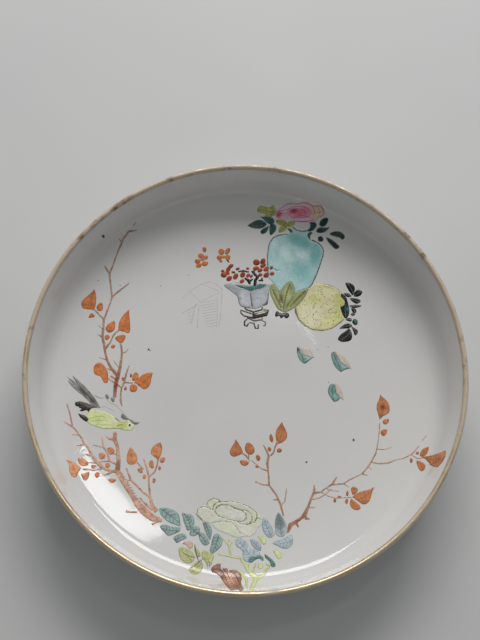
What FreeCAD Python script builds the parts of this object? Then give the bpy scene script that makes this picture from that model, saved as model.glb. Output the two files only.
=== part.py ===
"""A hand painted porcelain saucer dish: turned paste, clear glaze, gilt lip and overglaze enamels.

Millimetres. +Z is the dish's axis, z = 0 is the plane its foot ring rests on, and +Y is the top of
the painting. Every enamel is a prism of its brushed outline, cut out of a thin film that follows the
glazed upper side.
"""
import FreeCAD
import Part
import math
import os
import Sketcher

SIZES = {
    "rim_radius": 115.0,
    "rim_height": 40.0,
    "lip_radius": 1.2,
    "wall_angle": 76.0,
    "wall_thickness": 3.0,
    "corner_radius": 9.0,
    "swell_radius": 328.0,
    "swell_angle": 10.0,
    "well_height": 11.0,
    "foot_outer_radius": 71.0,
    "foot_height": 7.4,
    "rest_outer_radius": 69.4,
    "rest_inner_radius": 67.5,
    "rest_bevel": 1.2,
    "recess_radius": 66.4,
    "recess_height": 6.2,
    "recess_fillet": 2.5,
    "glaze_thickness": 0.3,
    "glaze_line": 1.8,
    "gilt_thickness": 0.15,
    "gilt_width": 0.8,
    "gilt_gap": 0.2,
    "gilt_facet_angle": 11.25,
    "enamel_thickness": 0.18,
    "wash_thickness": 0.08,
}

# Closed outlines in plate millimetres. A third value of 1 marks a sharp point.
# Brush strokes are (x, y, width) and taper evenly from one point to the next.
# film: which film the enamel is cut from. under: enamels whose strokes cross over this one.
MOTIFS = {
    "pink_peony": {
        "anchor": (32, 96),
        "film": "enamel_film",
        "outlines": [
            [(18.7, 94.8, 1), (19.6, 98), (21.6, 99.8), (26.2, 101.9), (30.6, 101.3), (34.4, 101.7),
             (37.6, 100.7), (40, 99.4), (44.2, 98.6), (44.8, 97.4), (46, 95.6), (45.4, 94.2), (43, 93.4),
             (41.4, 91.8), (34.2, 91.2), (29.6, 91.8), (27.6, 93.1), (22.6, 93)],
        ],
    },
    "peony_green_leaves": {
        "anchor": (16, 97),
        "film": "enamel_film",
        "outlines": [
            [(8, 98.4, 1), (10.8, 100.6), (15.2, 99.6), (16.8, 101.2, 1), (18.2, 98.8), (18.4, 96.4, 1),
             (15.8, 94.9), (12.2, 94.8, 1), (13.4, 96.4), (10.6, 97)],
            [(18.6, 92.2, 1), (21, 92.5), (24, 91.6), (24.6, 90.2, 1), (21, 89.9)],
            [(24.9, 89.4, 1), (26, 91.2), (29.2, 91.5, 1), (28.8, 90.1), (26.6, 88.7)],
            [(20.3, 85.4, 1), (20.9, 87.8), (23, 89.4), (24.8, 88.9, 1), (23.8, 86.9), (21.8, 85.8)],
        ],
    },
    "peony_dark_leaves_left": {
        "anchor": (11, 89),
        "film": "enamel_film",
        "outlines": [
            [(2.4, 89.4, 1), (6, 91.7), (9.2, 92.6), (12, 91.6), (13.2, 90.1, 1), (11.2, 88.4), (7.6, 87.8)],
            [(9.4, 95, 1), (12.4, 94.4), (14.8, 94.5), (16.8, 93.4), (17.4, 91, 1), (15.2, 90.3), (12.6, 92)],
            [(15.4, 90, 1), (17.2, 90.4), (18.5, 88.6), (18.5, 87.2), (17, 85), (15.4, 83.8, 1), (14.9, 87)],
            [(14.4, 89.3, 1), (13.8, 87.2), (12.4, 85.2), (10.6, 84.6, 1), (9.8, 85.8), (11.8, 87.8)],
        ],
    },
    "peony_dark_leaves_right": {
        "anchor": (47, 85),
        "film": "enamel_film",
        "outlines": [
            [(37.8, 91, 1), (40, 91.1), (41.4, 90), (41, 88), (39.2, 86.2), (36, 86.1, 1), (38, 88)],
            [(43.4, 89.2, 1), (44.4, 92), (46, 92.9), (48, 92.6), (47.6, 90.4), (45.6, 88.4)],
            [(41.6, 85.6), (42.4, 87.2), (45.2, 87.6), (48.8, 87.8, 1), (47.2, 86), (44.4, 84.8)],
            [(49, 84, 1), (51.6, 85), (54.8, 84.8), (57.2, 82.4), (56, 80.4, 1), (53.6, 82), (50.4, 83)],
            [(47, 81.9, 1), (50, 80.4), (52.8, 78), (54, 76), (52.4, 75.2), (50, 77.2), (48, 79.6)],
            [(42.8, 82.4, 1), (44.8, 82), (45, 80.2), (43.2, 79.8), (42.4, 80.8)],
        ],
    },
    "turquoise_vase": {
        "anchor": (29, 68),
        "film": "enamel_film",
        "under": ["vase_lines", "red_flowers"],
        "outlines": [
            [(27.9, 87.8, 1), (27.3, 85.4), (24.8, 84.1), (20, 83.8), (17.2, 82.4), (15.2, 80), (14.2, 77),
             (13.5, 71), (13.8, 59, 1), (17.2, 55.2, 1), (19.9, 50.6, 1), (21.6, 52.8), (24, 55.2),
             (26.5, 56.8, 1), (28.4, 53), (28.7, 49.6, 1), (31, 50.9), (36.4, 52.8, 1), (38.4, 55.2),
             (40.8, 60), (43, 66), (44.8, 71.4), (45.2, 74.6), (44.2, 76.8), (42.2, 79), (39, 80.6, 1),
             (37, 82.6), (36.4, 85.6, 1), (33, 85.8), (30.2, 86.4)],
        ],
    },
    "vase_lines": {
        "anchor": (29, 78),
        "film": "wash_film",
        "outlines": [
            [(25, 87.4, 1), (26.2, 86), (27.3, 84.6, 1), (27.7, 86.4), (26.6, 87.5)],
            [(39.4, 84.8, 1), (37.8, 85.3), (36.3, 83.6), (36.8, 81.9), (38.6, 80.2, 1), (37.9, 82.6)],
        ],
        "strokes": [
            [(25.2, 84.2, 0.5), (20, 83.7, 0.7), (17.2, 82.4, 0.7), (15.2, 79.9, 0.5), (14.2, 77, 0.5),
             (13.5, 71, 0.5), (13.7, 59, 0.5)],
            [(38.9, 80.5, 0.9), (42.1, 79, 0.6), (44.3, 76.7, 0.5), (45.2, 74.4, 0.5), (44.8, 71.2, 0.5),
             (43, 66, 0.6), (40.8, 60, 0.6), (38.4, 55.1, 0.6), (36.6, 52.7, 0.5)],
            [(28.1, 88.4, 0.5), (30.2, 86.5, 0.6), (33, 85.8, 0.6), (36, 86, 0.7)],
            [(16.6, 64, 0.6), (18.4, 63.1, 0.6), (20.8, 63.1, 0.4)],
        ],
    },
    "leaf_wrap": {
        "anchor": (25, 46),
        "film": "enamel_film",
        "under": ["leaf_wrap_veins"],
        "outlines": [
            [(15.6, 54.8, 1), (14.8, 50), (16.4, 45.4), (18.6, 41), (20.5, 39.3), (22.8, 38.7), (26, 39.9),
             (28.7, 41.8), (31.6, 44.4), (34.2, 48), (36.2, 52.2, 1), (32.6, 51.2), (30, 49.8),
             (28.4, 48.3, 1), (28.2, 52), (27.5, 54.4), (26.4, 56.3, 1), (24, 54.7), (21.8, 52.2),
             (19.9, 49.7, 1), (18.5, 53), (17, 54.9)],
        ],
    },
    "leaf_wrap_veins": {
        "anchor": (24, 46),
        "film": "wash_film",
        "strokes": [
            [(26.2, 55.4, 0.35), (24, 50, 0.35), (22.2, 43, 0.35), (21.8, 39.6, 0.35)],
            [(34.8, 51, 0.35), (30, 46.5, 0.35), (25.6, 41.6, 0.35)],
            [(19.9, 48.8, 0.5), (21, 46, 0.7), (21.7, 43.6, 0.4)],
            [(27.9, 47.6, 0.35), (25.4, 44.6, 0.35), (23.6, 41, 0.35)],
            [(16.1, 51.6, 0.35), (18.4, 46, 0.35), (20.6, 41, 0.35)],
        ],
    },
    "vase_foot": {
        "anchor": (21, 37),
        "film": "enamel_film",
        "outlines": [
            [(17.4, 37.6), (18.6, 38.9), (20, 38), (22, 38), (24, 38), (25, 37), (24.6, 35.6), (23.2, 34.8),
             (22, 36), (20.6, 34.8), (19.4, 36.4), (18, 35.8)],
        ],
    },
    "citron": {
        "anchor": (43, 41),
        "film": "enamel_film",
        "under": ["citron_leaves", "citron_line"],
        "outlines": [
            [(37.3, 52.2, 1), (40, 54.3), (43.8, 54.8), (48, 54.2), (52, 51.8), (55, 48.6), (57, 44),
             (57.2, 39.6), (56, 35.4), (53, 31.8), (48.6, 29), (43, 27.6), (38, 28.2), (33.6, 30.6),
             (30.4, 34.2), (28.9, 38.4), (28.9, 41.3, 1), (32, 44), (34.8, 47.6)],
        ],
    },
    "citron_line": {
        "anchor": (43, 41),
        "film": "wash_film",
        "strokes": [
            [(44, 54.8, 0.35), (48, 54.2, 0.4), (52, 51.8, 0.4), (54.4, 49.5, 0.4)],
            [(55.2, 33.9, 0.4), (53, 31.8, 0.4), (48.6, 29, 0.4), (43, 27.6, 0.4), (38, 28.2, 0.4),
             (33.6, 30.6, 0.4), (30.4, 34.2, 0.6), (28.8, 38.4, 1), (28.7, 41.2, 1)],
        ],
    },
    "citron_leaves": {
        "anchor": (59, 38),
        "film": "enamel_film",
        "outlines": [
            [(54.6, 49, 1), (56.4, 47.6), (57.8, 43.6), (58.4, 40), (58, 36.8), (56.6, 34.8), (55, 36, 1),
             (54.2, 38.6), (53.6, 41.4, 1), (55.6, 42, 1), (55.8, 45), (54.4, 47.2)],
            [(57.1, 55.1, 1), (59.3, 54.8), (61.6, 53.1), (61.8, 50.7), (60.8, 48, 1), (59.2, 50.2)],
            [(61.7, 47.3, 1), (62, 49.2), (63.8, 50.7), (66, 49.4, 1), (64.8, 47.7)],
            [(56.2, 49.1, 1), (58, 48.9), (60, 47.4, 1), (58.2, 47)],
            [(59.3, 45.9, 1), (62.3, 45.8), (64.8, 44.7), (62.8, 43, 1), (60.8, 44.2)],
            [(59, 41.9, 1), (62, 42), (65.3, 41.6, 1), (62.3, 40.7), (60, 41)],
            [(59.8, 40.1, 1), (61.8, 39.8), (62.3, 38.3), (60.8, 37.6, 1)],
            [(59.3, 36.9, 1), (60.4, 37.4), (61.6, 36.8, 1), (60.4, 36.1)],
            [(56.6, 33.9, 1), (58, 34.6), (59.3, 34.2), (59.3, 32.9, 1), (57.8, 33.2)],
            [(60.3, 32.9), (61.8, 33.9), (62.8, 32.6), (61.6, 30.7), (60.4, 31.7)],
            [(52.9, 28.7, 1), (55.4, 30.7), (57.9, 31.4), (59.6, 30.4, 1), (58.4, 29.3), (55.4, 28.9)],
            [(59.5, 29.7, 1), (61.3, 28.5), (62.5, 27.3), (62.3, 25.7), (61.1, 24.8, 1), (60.5, 27.3)],
            [(51.9, 22.5, 1), (53.9, 25.5), (56.4, 27.2), (57.9, 28.6, 1), (59.3, 24.9), (58.6, 22.2),
             (55.9, 21.3), (53.9, 21.3)],
        ],
    },
    "flowerpot": {
        "anchor": (3, 48),
        "film": "enamel_film",
        "under": ["flowerpot_soil", "flowerpot_lines", "flower_stems"],
        "outlines": [
            [(-11.2, 54.2, 1), (-9.2, 55.3), (-5, 56), (0, 55), (6, 54.8), (10, 55.2), (14.6, 54.6, 1),
             (14, 51), (13.4, 46), (13, 43.4, 1), (10, 42, 1), (5, 40.6), (0.2, 41.4), (-1.8, 42, 1),
             (-3, 45), (-3.6, 47.8), (-6.2, 50.2), (-8.8, 52.2)],
        ],
    },
    "flowerpot_soil": {
        "anchor": (4, 53),
        "film": "enamel_film",
        "under": ["flower_stems"],
        "outlines": [
            [(-5.2, 54.4, 1), (-2, 54.2), (2, 53.6), (5.6, 53.8), (9, 54.8), (12.6, 54.4, 1), (11, 53.1),
             (7, 51.9), (3.4, 51), (0.6, 52), (-2.2, 53)],
        ],
    },
    "flowerpot_lines": {
        "anchor": (4, 47),
        "film": "wash_film",
        "strokes": [
            [(3.6, 49.8, 0.5), (4, 46, 0.6), (4.4, 42, 0.7), (4.6, 40.9, 0.5)],
            [(13.7, 49.8, 0.4), (13.3, 45.6, 0.5), (12.6, 43.4, 1.3), (10.2, 42.2, 0.5)],
            [(-1.6, 42.1, 0.4), (0.8, 41.3, 0.5), (3.4, 40.9, 0.4)],
        ],
    },
    "pot_stand": {
        "anchor": (5.6, 35),
        "film": "wash_film",
        "strokes": [
            [(0.2, 41.1, 0.6), (1.3, 39.9, 0.9), (5.2, 38.6, 0.8), (9.8, 39.8, 0.9), (10.2, 41.5, 0.6)],
            [(-1.8, 39.7, 0.6), (-1.9, 38, 0.6), (0, 36.2, 0.7), (5.2, 35, 1.2), (12.6, 36.6, 0.9),
             (13.5, 39.6, 0.9), (10.6, 39.8, 0.7)],
            [(-1.7, 39.5, 0.5), (5.2, 37.2, 0.8), (12.9, 38.5, 1.1)],
            [(5.2, 38.4, 0.9), (5.2, 35.2, 1.2)],
            [(1.6, 35.2, 0.6), (5.4, 33.4, 0.8), (10, 34, 0.8), (9.9, 35.2, 0.6)],
            [(1.8, 34.6, 0.5), (0.2, 33, 0.8), (0.1, 30.8, 0.8), (1.5, 30.3, 1), (2.4, 32, 0.5)],
            [(10, 33.4, 0.5), (11.7, 32.6, 0.6), (11.5, 30.4, 0.6), (10.2, 30.6, 0.5)],
            [(2.6, 32.2, 0.5), (5.4, 32, 0.6), (6.1, 29, 0.8), (7.6, 28.9, 0.8), (7.8, 31.4, 0.6)],
        ],
    },
    "flower_stems": {
        "anchor": (5, 58),
        "film": "enamel_film",
        "strokes": [
            [(6.1, 54, 1.6), (6.5, 57.4, 1.5), (7.8, 59.2, 1.6), (6.3, 60.7, 1.4), (5, 62.4, 1.6),
             (6.6, 63.2, 0.6)],
            [(3.4, 54.8, 0.8), (2.8, 57, 1.9), (0.5, 58.7, 0.7)],
            [(3.2, 56.6, 1.2), (5, 58, 0.6)],
            [(8.3, 57.1, 0.7), (10.2, 57.2, 1.1), (10.9, 57, 0.5)],
            [(10, 57.2, 0.8), (10.3, 58.7, 0.7)],
            [(-3, 62.3, 0.7), (-0.4, 62.9, 0.8), (2.8, 62.1, 0.8)],
            [(-9.6, 69.2, 0.5), (-8.2, 67.8, 0.5)],
        ],
    },
    "red_flowers": {
        "anchor": (2, 62),
        "film": "enamel_film",
        "under": ["flower_stems", "vase_lines"],
        "petals": [
            (7.2, 67.8, 1.6, 1.5, 0), (10.9, 68.3, 1.7, 1.1, 60), (6.9, 64.3, 1.5, 0.9, 20),
            (11, 65.9, 1.6, 0.8, 35), (9.2, 63.1, 1.3, 0.8, 35), (12.9, 63.9, 1.7, 1, 30),
            (15.5, 64.5, 1.3, 0.7, 55), (12.8, 60.3, 1.7, 1.1, 30), (15.9, 61, 1.3, 1, 30),
            (9.3, 60.4, 1, 0.7, 30), (-11.2, 60.4, 1.5, 1.3, 0), (-11.8, 62.6, 0.7, 0.6, 0),
            (-9.2, 61.7, 1.2, 0.8, -60), (-8.7, 63.7, 1.3, 0.9, 60), (-7.3, 65.6, 1.4, 0.8, 40),
            (-8.2, 58.3, 1.6, 1, 50), (-4.6, 59.5, 1.7, 1, 60), (-5.9, 62, 0.8, 0.5, 0),
            (-3.4, 64, 0.9, 0.5, 20), (-0.6, 60.5, 1.5, 1.1, 70), (-1, 56.7, 1.2, 0.8, 45),
            (2.4, 60.1, 1.1, 0.6, 50), (4.2, 59.6, 0.9, 0.5, 60), (2.2, 64.2, 0.6, 0.5, 0),
        ],
    },
    "floating_blossoms": {
        "anchor": (-17, 71),
        "film": "wash_film",
        "petals": [
            (-24.1, 71.4, 1.4, 1.2, 0), (-21.3, 70.6, 1, 0.8, 60), (-26, 68.3, 1.4, 1.1, 20),
            (-25.3, 65.8, 1.5, 0.9, 30), (-21.9, 67, 1.5, 1.2, 20), (-22.2, 75.2, 0.8, 1.2, 0),
            (-23.2, 69.4, 0.9, 0.5, 20), (-12.6, 74, 1.4, 1.6, 0), (-9.1, 74.4, 1.8, 0.9, 60),
            (-13.7, 70.5, 1.2, 1.2, 0), (-9, 70.7, 1.2, 1.4, 0), (-11.4, 70.9, 0.7, 0.6, 0),
            (-12.9, 68.5, 0.7, 0.5, 0),
        ],
    },
    "book_box_lines": {
        "anchor": (-22, 42),
        "film": "wash_film",
        "strokes": [
            [(-12.4, 52.8, 0.3), (-12.3, 48, 0.3), (-13.8, 30, 0.3)],
            [(-14.6, 48, 0.3), (-15.2, 29.6, 0.3)],
            [(-25, 43, 0.3), (-26, 29.4, 0.3)],
            [(-27, 43.2, 0.3), (-29.2, 31.8, 0.3)],
            [(-34.6, 46.2, 0.3), (-30, 50.9, 0.3), (-23.2, 55.1, 0.3), (-19.6, 56.4, 0.3),
             (-15.8, 55.2, 0.3), (-12.6, 52.6, 0.3)],
            [(-29.8, 50, 0.3), (-24.4, 44.7, 0.3), (-13.2, 50.2, 0.3)],
            [(-22.8, 54.8, 0.3), (-14.2, 51, 0.3)],
            [(-34.8, 37.6, 0.3), (-27.2, 42, 0.3), (-25.4, 43.6, 0.3)],
        ],
    },
    "caltrop_shells": {
        "anchor": (44, 5),
        "film": "enamel_film",
        "outlines": [
            [(29.2, 18.3, 1), (31, 15.4), (32.4, 13.3, 1), (36.9, 11.7, 1), (35.2, 10.4), (32.9, 8.7, 1),
             (31, 10), (29.7, 12.2), (29, 14.8)],
            [(48.2, 14.9), (49.4, 15.4, 1), (50.9, 12.4), (52.5, 9, 1), (57.1, 5.8, 1), (54.9, 5.3),
             (52.7, 4, 1), (50, 6.4), (48.2, 10.6)],
            [(47.5, -2.8), (48.9, -3.4, 1), (49.3, -7.8, 1), (51.4, -10.7, 1), (50.6, -11.8),
             (48, -12.6, 1), (46.3, -10), (45.2, -6.8)],
        ],
    },
    "caltrop_kernels": {
        "anchor": (46, 6),
        "film": "wash_film",
        "outlines": [
            [(29.8, 18.2, 1), (34.7, 17.2), (38.1, 11.9, 1), (37.2, 12.1, 1), (32.7, 13.6, 1), (31.4, 15.6)],
            [(49.6, 15.6, 1), (52.4, 14.1), (55.6, 11), (58.2, 5.2, 1), (57.2, 6.2, 1), (52.9, 9.1, 1),
             (51.2, 12.4)],
            [(49, -2.4, 1), (51.4, -4.7), (52.7, -7.8), (53.2, -12, 1), (51.6, -10.5, 1), (49.6, -7.7, 1)],
        ],
    },
    "upper_left_twigs": {
        "anchor": (-72, 35),
        "film": "enamel_film",
        "strokes": [
            [(-70.2, -10.4, 1.8), (-69.9, -4, 2.2), (-69, 2, 2.4), (-72.7, 6.2, 1.6), (-74.6, 10, 1.4),
             (-75.9, 14, 1.2), (-76.8, 19.1, 1.4), (-77.8, 23.7, 1.6), (-77.5, 29, 1.2), (-77.4, 33.6, 1.2),
             (-80.1, 36.1, 0.9), (-82.9, 39.2, 0.9)],
            [(-77.3, 33.2, 1), (-75.7, 38.2, 0.9), (-74.2, 42.7, 0.7), (-73.2, 46.4, 1.1),
             (-74.3, 54.1, 0.9), (-75, 59.6, 1.1), (-73.5, 63.7, 0.9), (-72.1, 68.1, 0.8),
             (-70.6, 72.5, 0.8), (-69, 76.5, 1.1), (-67.7, 79.8, 0.9), (-64.7, 83.8, 1), (-60, 85.3, 0.5)],
            [(-74.9, 59.8, 1.2), (-76.2, 61.6, 1.2), (-77.9, 64.2, 0.6)],
            [(-73.3, 46.8, 1.4), (-70.6, 49, 0.9), (-65.1, 53.8, 0.8), (-63.8, 55, 0.4)],
            [(-68.8, 78, 0.9), (-70, 79.6, 0.5)],
            [(-62.2, 86.8, 0.5), (-60.4, 89, 0.4)],
            [(-69.2, 0, 2.4), (-67.7, 7, 1.5), (-67.2, 11.5, 1.2), (-67, 14.6, 1.2), (-67.5, 18.4, 1),
             (-68.1, 20.5, 0.9)],
            [(-66.9, 14.6, 0.8), (-64.7, 15.4, 0.7), (-63.5, 17.2, 0.4)],
            [(-68.4, 6.4, 0.6), (-70.4, 8.9, 0.5), (-71.5, 10.6, 0.4)],
            [(-76, 17, 1.6), (-73.4, 20.7, 0.8), (-71.9, 24.5, 0.8), (-69.9, 27, 0.8)],
            [(-69.4, -2.8, 1), (-66.6, -4.8, 1), (-67, -8.2, 0.8), (-66.9, -12, 1.2), (-66.1, -15.2, 0.6)],
            [(-66.6, -4.8, 0.9), (-65.2, -1.6, 1.1), (-64.3, 3.2, 0.9), (-62.9, 7.6, 0.6)],
            [(-65.2, -1.9, 0.9), (-60.7, -2.1, 0.9)],
            [(-70.2, -2.2, 1), (-72.6, -0.8, 0.7), (-74.2, 0.6, 0.7)],
            [(-70.2, 0, 0.8), (-72.7, 1.6, 1.2)],
            [(-77.8, 27.9, 0.8), (-80.2, 29.9, 0.4)],
            [(-78, 23.5, 1), (-80.6, 24.9, 0.4)],
            [(-75.2, 10.6, 1), (-79.2, 11.9, 0.5)],
            [(-72.6, 4.9, 0.8), (-75, 5.9, 0.5)],
        ],
    },
    "upper_left_leaves": {
        "anchor": (-74, 25),
        "film": "enamel_film",
        "under": ["upper_left_twigs"],
        "outlines": [
            [(-83.3, 50.3, 1), (-87.1, 45.7), (-89.6, 41.4), (-89, 39.8), (-84.9, 38.9), (-83, 38.6, 1),
             (-82.4, 40.4), (-82, 44.2), (-82.3, 48)],
            [(-81.4, 39.6), (-80.8, 41.4), (-79.1, 42.8), (-78.2, 40.8), (-79.1, 38.2, 1)],
            [(-85.4, 34, 1), (-84.9, 35.6), (-83.9, 36.5), (-82.6, 34.7), (-84.1, 34.3)],
            [(-76.1, 28.3), (-74.4, 30.9), (-71.9, 32.7, 1), (-71.2, 30.6), (-71.9, 27.5), (-73.2, 26.3, 1),
             (-75.6, 26.9)],
            [(-63.7, 39.3, 1), (-67.5, 34.9), (-68.9, 31.4), (-69.2, 28.6), (-70, 26, 1), (-66.6, 27),
             (-63.6, 26.2), (-63, 28.7), (-63.3, 33)],
            [(-70.9, 22.9, 1), (-68.1, 24.6), (-65.6, 24.6), (-65.9, 22.2), (-67.5, 20.3, 1), (-69.2, 21)],
            [(-76.3, 22.8), (-74.7, 24.5, 1), (-74.7, 22.2), (-75.4, 21.8)],
            [(-72.9, 18.1), (-71.8, 19.1), (-71, 18.9), (-71.7, 17.2)],
            [(-81.8, 5.5), (-81, 7.6), (-79.1, 8.8), (-75.8, 6.2), (-74.3, 2.8), (-74.2, 0.2), (-74.1, -1.4),
             (-75.3, -2.4), (-76.8, -0.6), (-78, 1.2), (-81, 2.6)],
            [(-60, -2.1, 1), (-57.1, 0.9), (-53.7, 3.2), (-50.2, 3.5, 1), (-51, -0.6), (-52.5, -4.4),
             (-54, -5.4), (-56.7, -4)],
            [(-60.9, 0.9), (-58.7, 3.8, 1), (-57.8, 2), (-59, -0.4), (-60.8, -0.7)],
            [(-62, -4.4), (-60.5, -2.9), (-58.4, -4.2), (-59.4, -6.9), (-61.3, -6.9)],
            [(-62.2, 1.4), (-61.6, 2.9), (-61.2, 2), (-61.6, 1.2)],
            [(-66.4, -0.6), (-65.9, 0.9), (-65.1, 0.5), (-65.5, -0.7)],
            [(-65.1, -5.4), (-64.3, -4.3), (-63.9, -5.3), (-64.4, -6.1)],
        ],
    },
    "bird_body": {
        "anchor": (-72, -23),
        "film": "enamel_film",
        "under": ["bird_wing", "bird_head"],
        "outlines": [
            [(-85.4, -22.3, 1), (-84.6, -20), (-83.2, -18.2), (-80.5, -17.5), (-75.7, -18.3), (-71.5, -20.1),
             (-68.7, -22.5), (-65.3, -23.7), (-62.1, -22.7), (-60.2, -24), (-59.4, -26), (-60.4, -27.7),
             (-63.2, -28.2), (-67.3, -27.4), (-71.5, -27.4), (-75.7, -27.4), (-79.5, -26.3),
             (-82.6, -24.9)],
        ],
    },
    "bird_wing": {
        "anchor": (-85, -18),
        "film": "enamel_film",
        "under": ["bird_tail"],
        "outlines": [
            [(-90.9, -14.1), (-88.8, -13), (-85.7, -13.5), (-82.6, -14.5), (-79.1, -16.2, 1), (-82.6, -16.9),
             (-83.6, -18.8, 1), (-85.4, -17.7), (-87.4, -18.3), (-88.1, -17.8, 1), (-87.2, -17, 1),
             (-88.9, -16.2, 1), (-88.6, -15.6, 1), (-90.6, -15)],
            [(-89, -19.6, 1), (-87.1, -20.2), (-84.9, -21), (-83.6, -23.2), (-84.6, -23.9, 1),
             (-86.4, -22.8), (-87.8, -21.5)],
        ],
    },
    "bird_tail": {
        "anchor": (-86, -8),
        "film": "enamel_film",
        "outlines": [
            [(-77.4, -16.2, 1), (-79, -13.6), (-80.5, -11.1), (-84, -6.9), (-88.1, -2.7), (-93, 1.3, 1),
             (-89.9, -2.9, 1), (-96.4, 0.9, 1), (-90.4, -5, 1), (-95.3, -1.6, 1), (-90.6, -6.9),
             (-86.7, -10), (-82.4, -14.1), (-79.1, -16, 1)],
        ],
    },
    "bird_head": {
        "anchor": (-62, -23),
        "film": "enamel_film",
        "outlines": [
            [(-66.6, -20.6, 1), (-65.3, -19), (-63.5, -20.8), (-60.8, -22.6), (-56.8, -23.8, 1),
             (-58.7, -25.2), (-60.2, -24.6), (-62.2, -22.8), (-64.4, -22.4)],
            [(-61.7, -24.6), (-60.8, -25.4), (-61.7, -26.3), (-62.6, -25.4)],
            [(-70, -21.2, 1), (-68.4, -21.9), (-67.2, -23.1, 1), (-68.9, -22.7)],
            [(-74.8, -8.4, 1), (-73.3, -9.8), (-73.3, -11.4, 1), (-75, -10.2)],
            [(-72.2, -10.4, 1), (-70.4, -10.8), (-70.6, -13, 1), (-71.9, -12)],
        ],
    },
    "lower_left_twigs": {
        "anchor": (-66, -48),
        "film": "enamel_film",
        "strokes": [
            [(-43.6, -75.7, 2), (-48.3, -74.6, 3.6), (-52.5, -71.4, 4), (-56.2, -67.5, 3.4),
             (-58.7, -63.7, 2.4), (-61.6, -59.2, 2.8), (-64.9, -54.2, 2.8), (-67.4, -50.1, 3),
             (-66.9, -45.1, 2.2), (-67.4, -39.8, 1.8), (-67.8, -36.9, 1.8), (-69.4, -33.2, 2.2),
             (-69.2, -29.2, 1.8)],
            [(-69.2, -33, 2.2), (-71.8, -32.9, 1.6), (-74.2, -31.6, 0.5)],
            [(-67.6, -50.3, 2), (-70.4, -50.2, 1.6), (-73.6, -49.2, 1.1), (-76, -47.6, 1.9),
             (-78.5, -45.1, 1.6), (-81, -41.8, 1.4), (-82.6, -38.5, 1.2), (-85.1, -35.6, 1),
             (-87.2, -31.9, 0.8), (-90.1, -28.2, 0.8), (-92, -26.7, 0.8), (-96.3, -24, 0.5)],
            [(-91.5, -26.8, 0.8), (-92.6, -22.5, 0.8), (-93.7, -18.3, 0.7), (-95.2, -14.2, 0.5)],
            [(-85, -36.2, 0.8), (-88.8, -36.9, 0.5)],
            [(-88, -31.4, 0.6), (-91.7, -31, 0.4)],
            [(-81, -42, 1), (-84.1, -41.6, 0.7)],
            [(-67.8, -46.6, 1), (-71.5, -44.9, 0.9), (-75.2, -45.2, 0.6), (-78.5, -46, 0.6),
             (-83.2, -46, 0.5)],
            [(-71.5, -45, 1.2), (-72.5, -41.8, 0.9), (-73.6, -39.4, 0.9), (-75.2, -37.3, 0.9),
             (-75.6, -34.4, 0.7), (-76.2, -31.9, 0.4)],
            [(-75.2, -37.6, 0.6), (-80.6, -36.4, 0.4)],
            [(-75.2, -49, 0.7), (-79.3, -49.8, 0.8), (-85.3, -49.4, 0.9)],
            [(-70.2, -50.6, 1.4), (-72.7, -52, 0.8), (-75.2, -52.6, 0.5)],
            [(-62.8, -48.4, 0.7), (-60.3, -54.6, 1.1), (-56.2, -58.6, 1), (-53.3, -61.5, 1),
             (-50.2, -63.6, 1)],
            [(-60.4, -54.6, 0.8), (-62.4, -55.4, 0.5)],
            [(-46.3, -71.2, 2.4), (-48.8, -68.3, 2), (-50, -63.3, 1.2), (-50.8, -57.1, 1),
             (-51, -52.6, 0.9), (-52.1, -48.4, 0.9), (-53.9, -43.6, 0.5)],
            [(-50.8, -53, 0.9), (-47.9, -50.5, 0.8), (-46.7, -46.8, 0.8), (-46.3, -44, 0.8)],
            [(-53.7, -49.2, 0.6), (-55.6, -47.2, 0.6), (-57.8, -44.8, 0.6)],
            [(-67.4, -41, 0.8), (-69.8, -41, 0.6)],
            [(-56.4, -71.6, 0.9), (-60.2, -71.4, 1), (-62.2, -71, 1.6)],
            [(-55.3, -64.1, 0.8), (-51.4, -68, 1.3), (-48.4, -70.4, 1.4)],
            [(-45.6, -76, 1.4), (-48.6, -78, 0.9)],
        ],
    },
    "lower_left_leaves": {
        "anchor": (-67, -46),
        "film": "enamel_film",
        "under": ["lower_left_twigs"],
        "outlines": [
            [(-93.8, -44.9, 1), (-90.1, -46), (-85.8, -49.2, 1), (-87.6, -51.8), (-89, -53.8),
             (-90.5, -53), (-91.9, -48.6)],
            [(-87.6, -43.7, 1), (-85.3, -43.9), (-82.6, -46.8), (-84.7, -47.7), (-87.2, -46.2)],
            [(-85.7, -52, 1), (-84, -51.6), (-82.2, -50.9, 1), (-82, -53.4), (-83.7, -55.3), (-85, -53.8)],
            [(-78.6, -51.6), (-77.5, -50.9), (-76.6, -51.6), (-77.5, -53.7)],
            [(-80.8, -47.5, 1), (-79.6, -47), (-78.5, -47.9), (-79.3, -48.8)],
            [(-77.1, -41.3, 1), (-75.2, -40.8), (-73.9, -42.2), (-75, -43.7)],
            [(-72.7, -38.1, 1), (-70.7, -37.8), (-69.4, -40.2), (-70.7, -41.3), (-72.4, -40.2)],
            [(-73.6, -47, 1), (-72, -46.2), (-71.3, -47.2), (-72.2, -48.4)],
            [(-71.8, -54.7, 1), (-69.8, -54.2), (-68, -54.7, 1), (-69.4, -56.3)],
            [(-61, -37.4, 1), (-58.5, -40.2), (-57.4, -42.7), (-57.9, -45.6), (-61.6, -46.2),
             (-62.6, -42.7), (-61.8, -39.4)],
            [(-45.3, -34.8, 1), (-44.4, -38.5), (-45, -41.4), (-46.3, -44.6, 1), (-47.5, -42.7),
             (-49.9, -40.6), (-49.3, -37.6), (-47, -35.4)],
            [(-45, -45.1), (-44.4, -43), (-43, -42.8), (-43.4, -45.1)],
            [(-50.9, -46), (-49.8, -44.2, 1), (-48.6, -46.6), (-48.8, -48.4), (-50.4, -47.8)],
            [(-56.8, -49, 1), (-55.4, -48.5), (-54.3, -50.9, 1), (-55.8, -50.8)],
            [(-53.8, -52.6), (-53, -52), (-52.5, -52.9), (-53.1, -54.2)],
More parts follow.
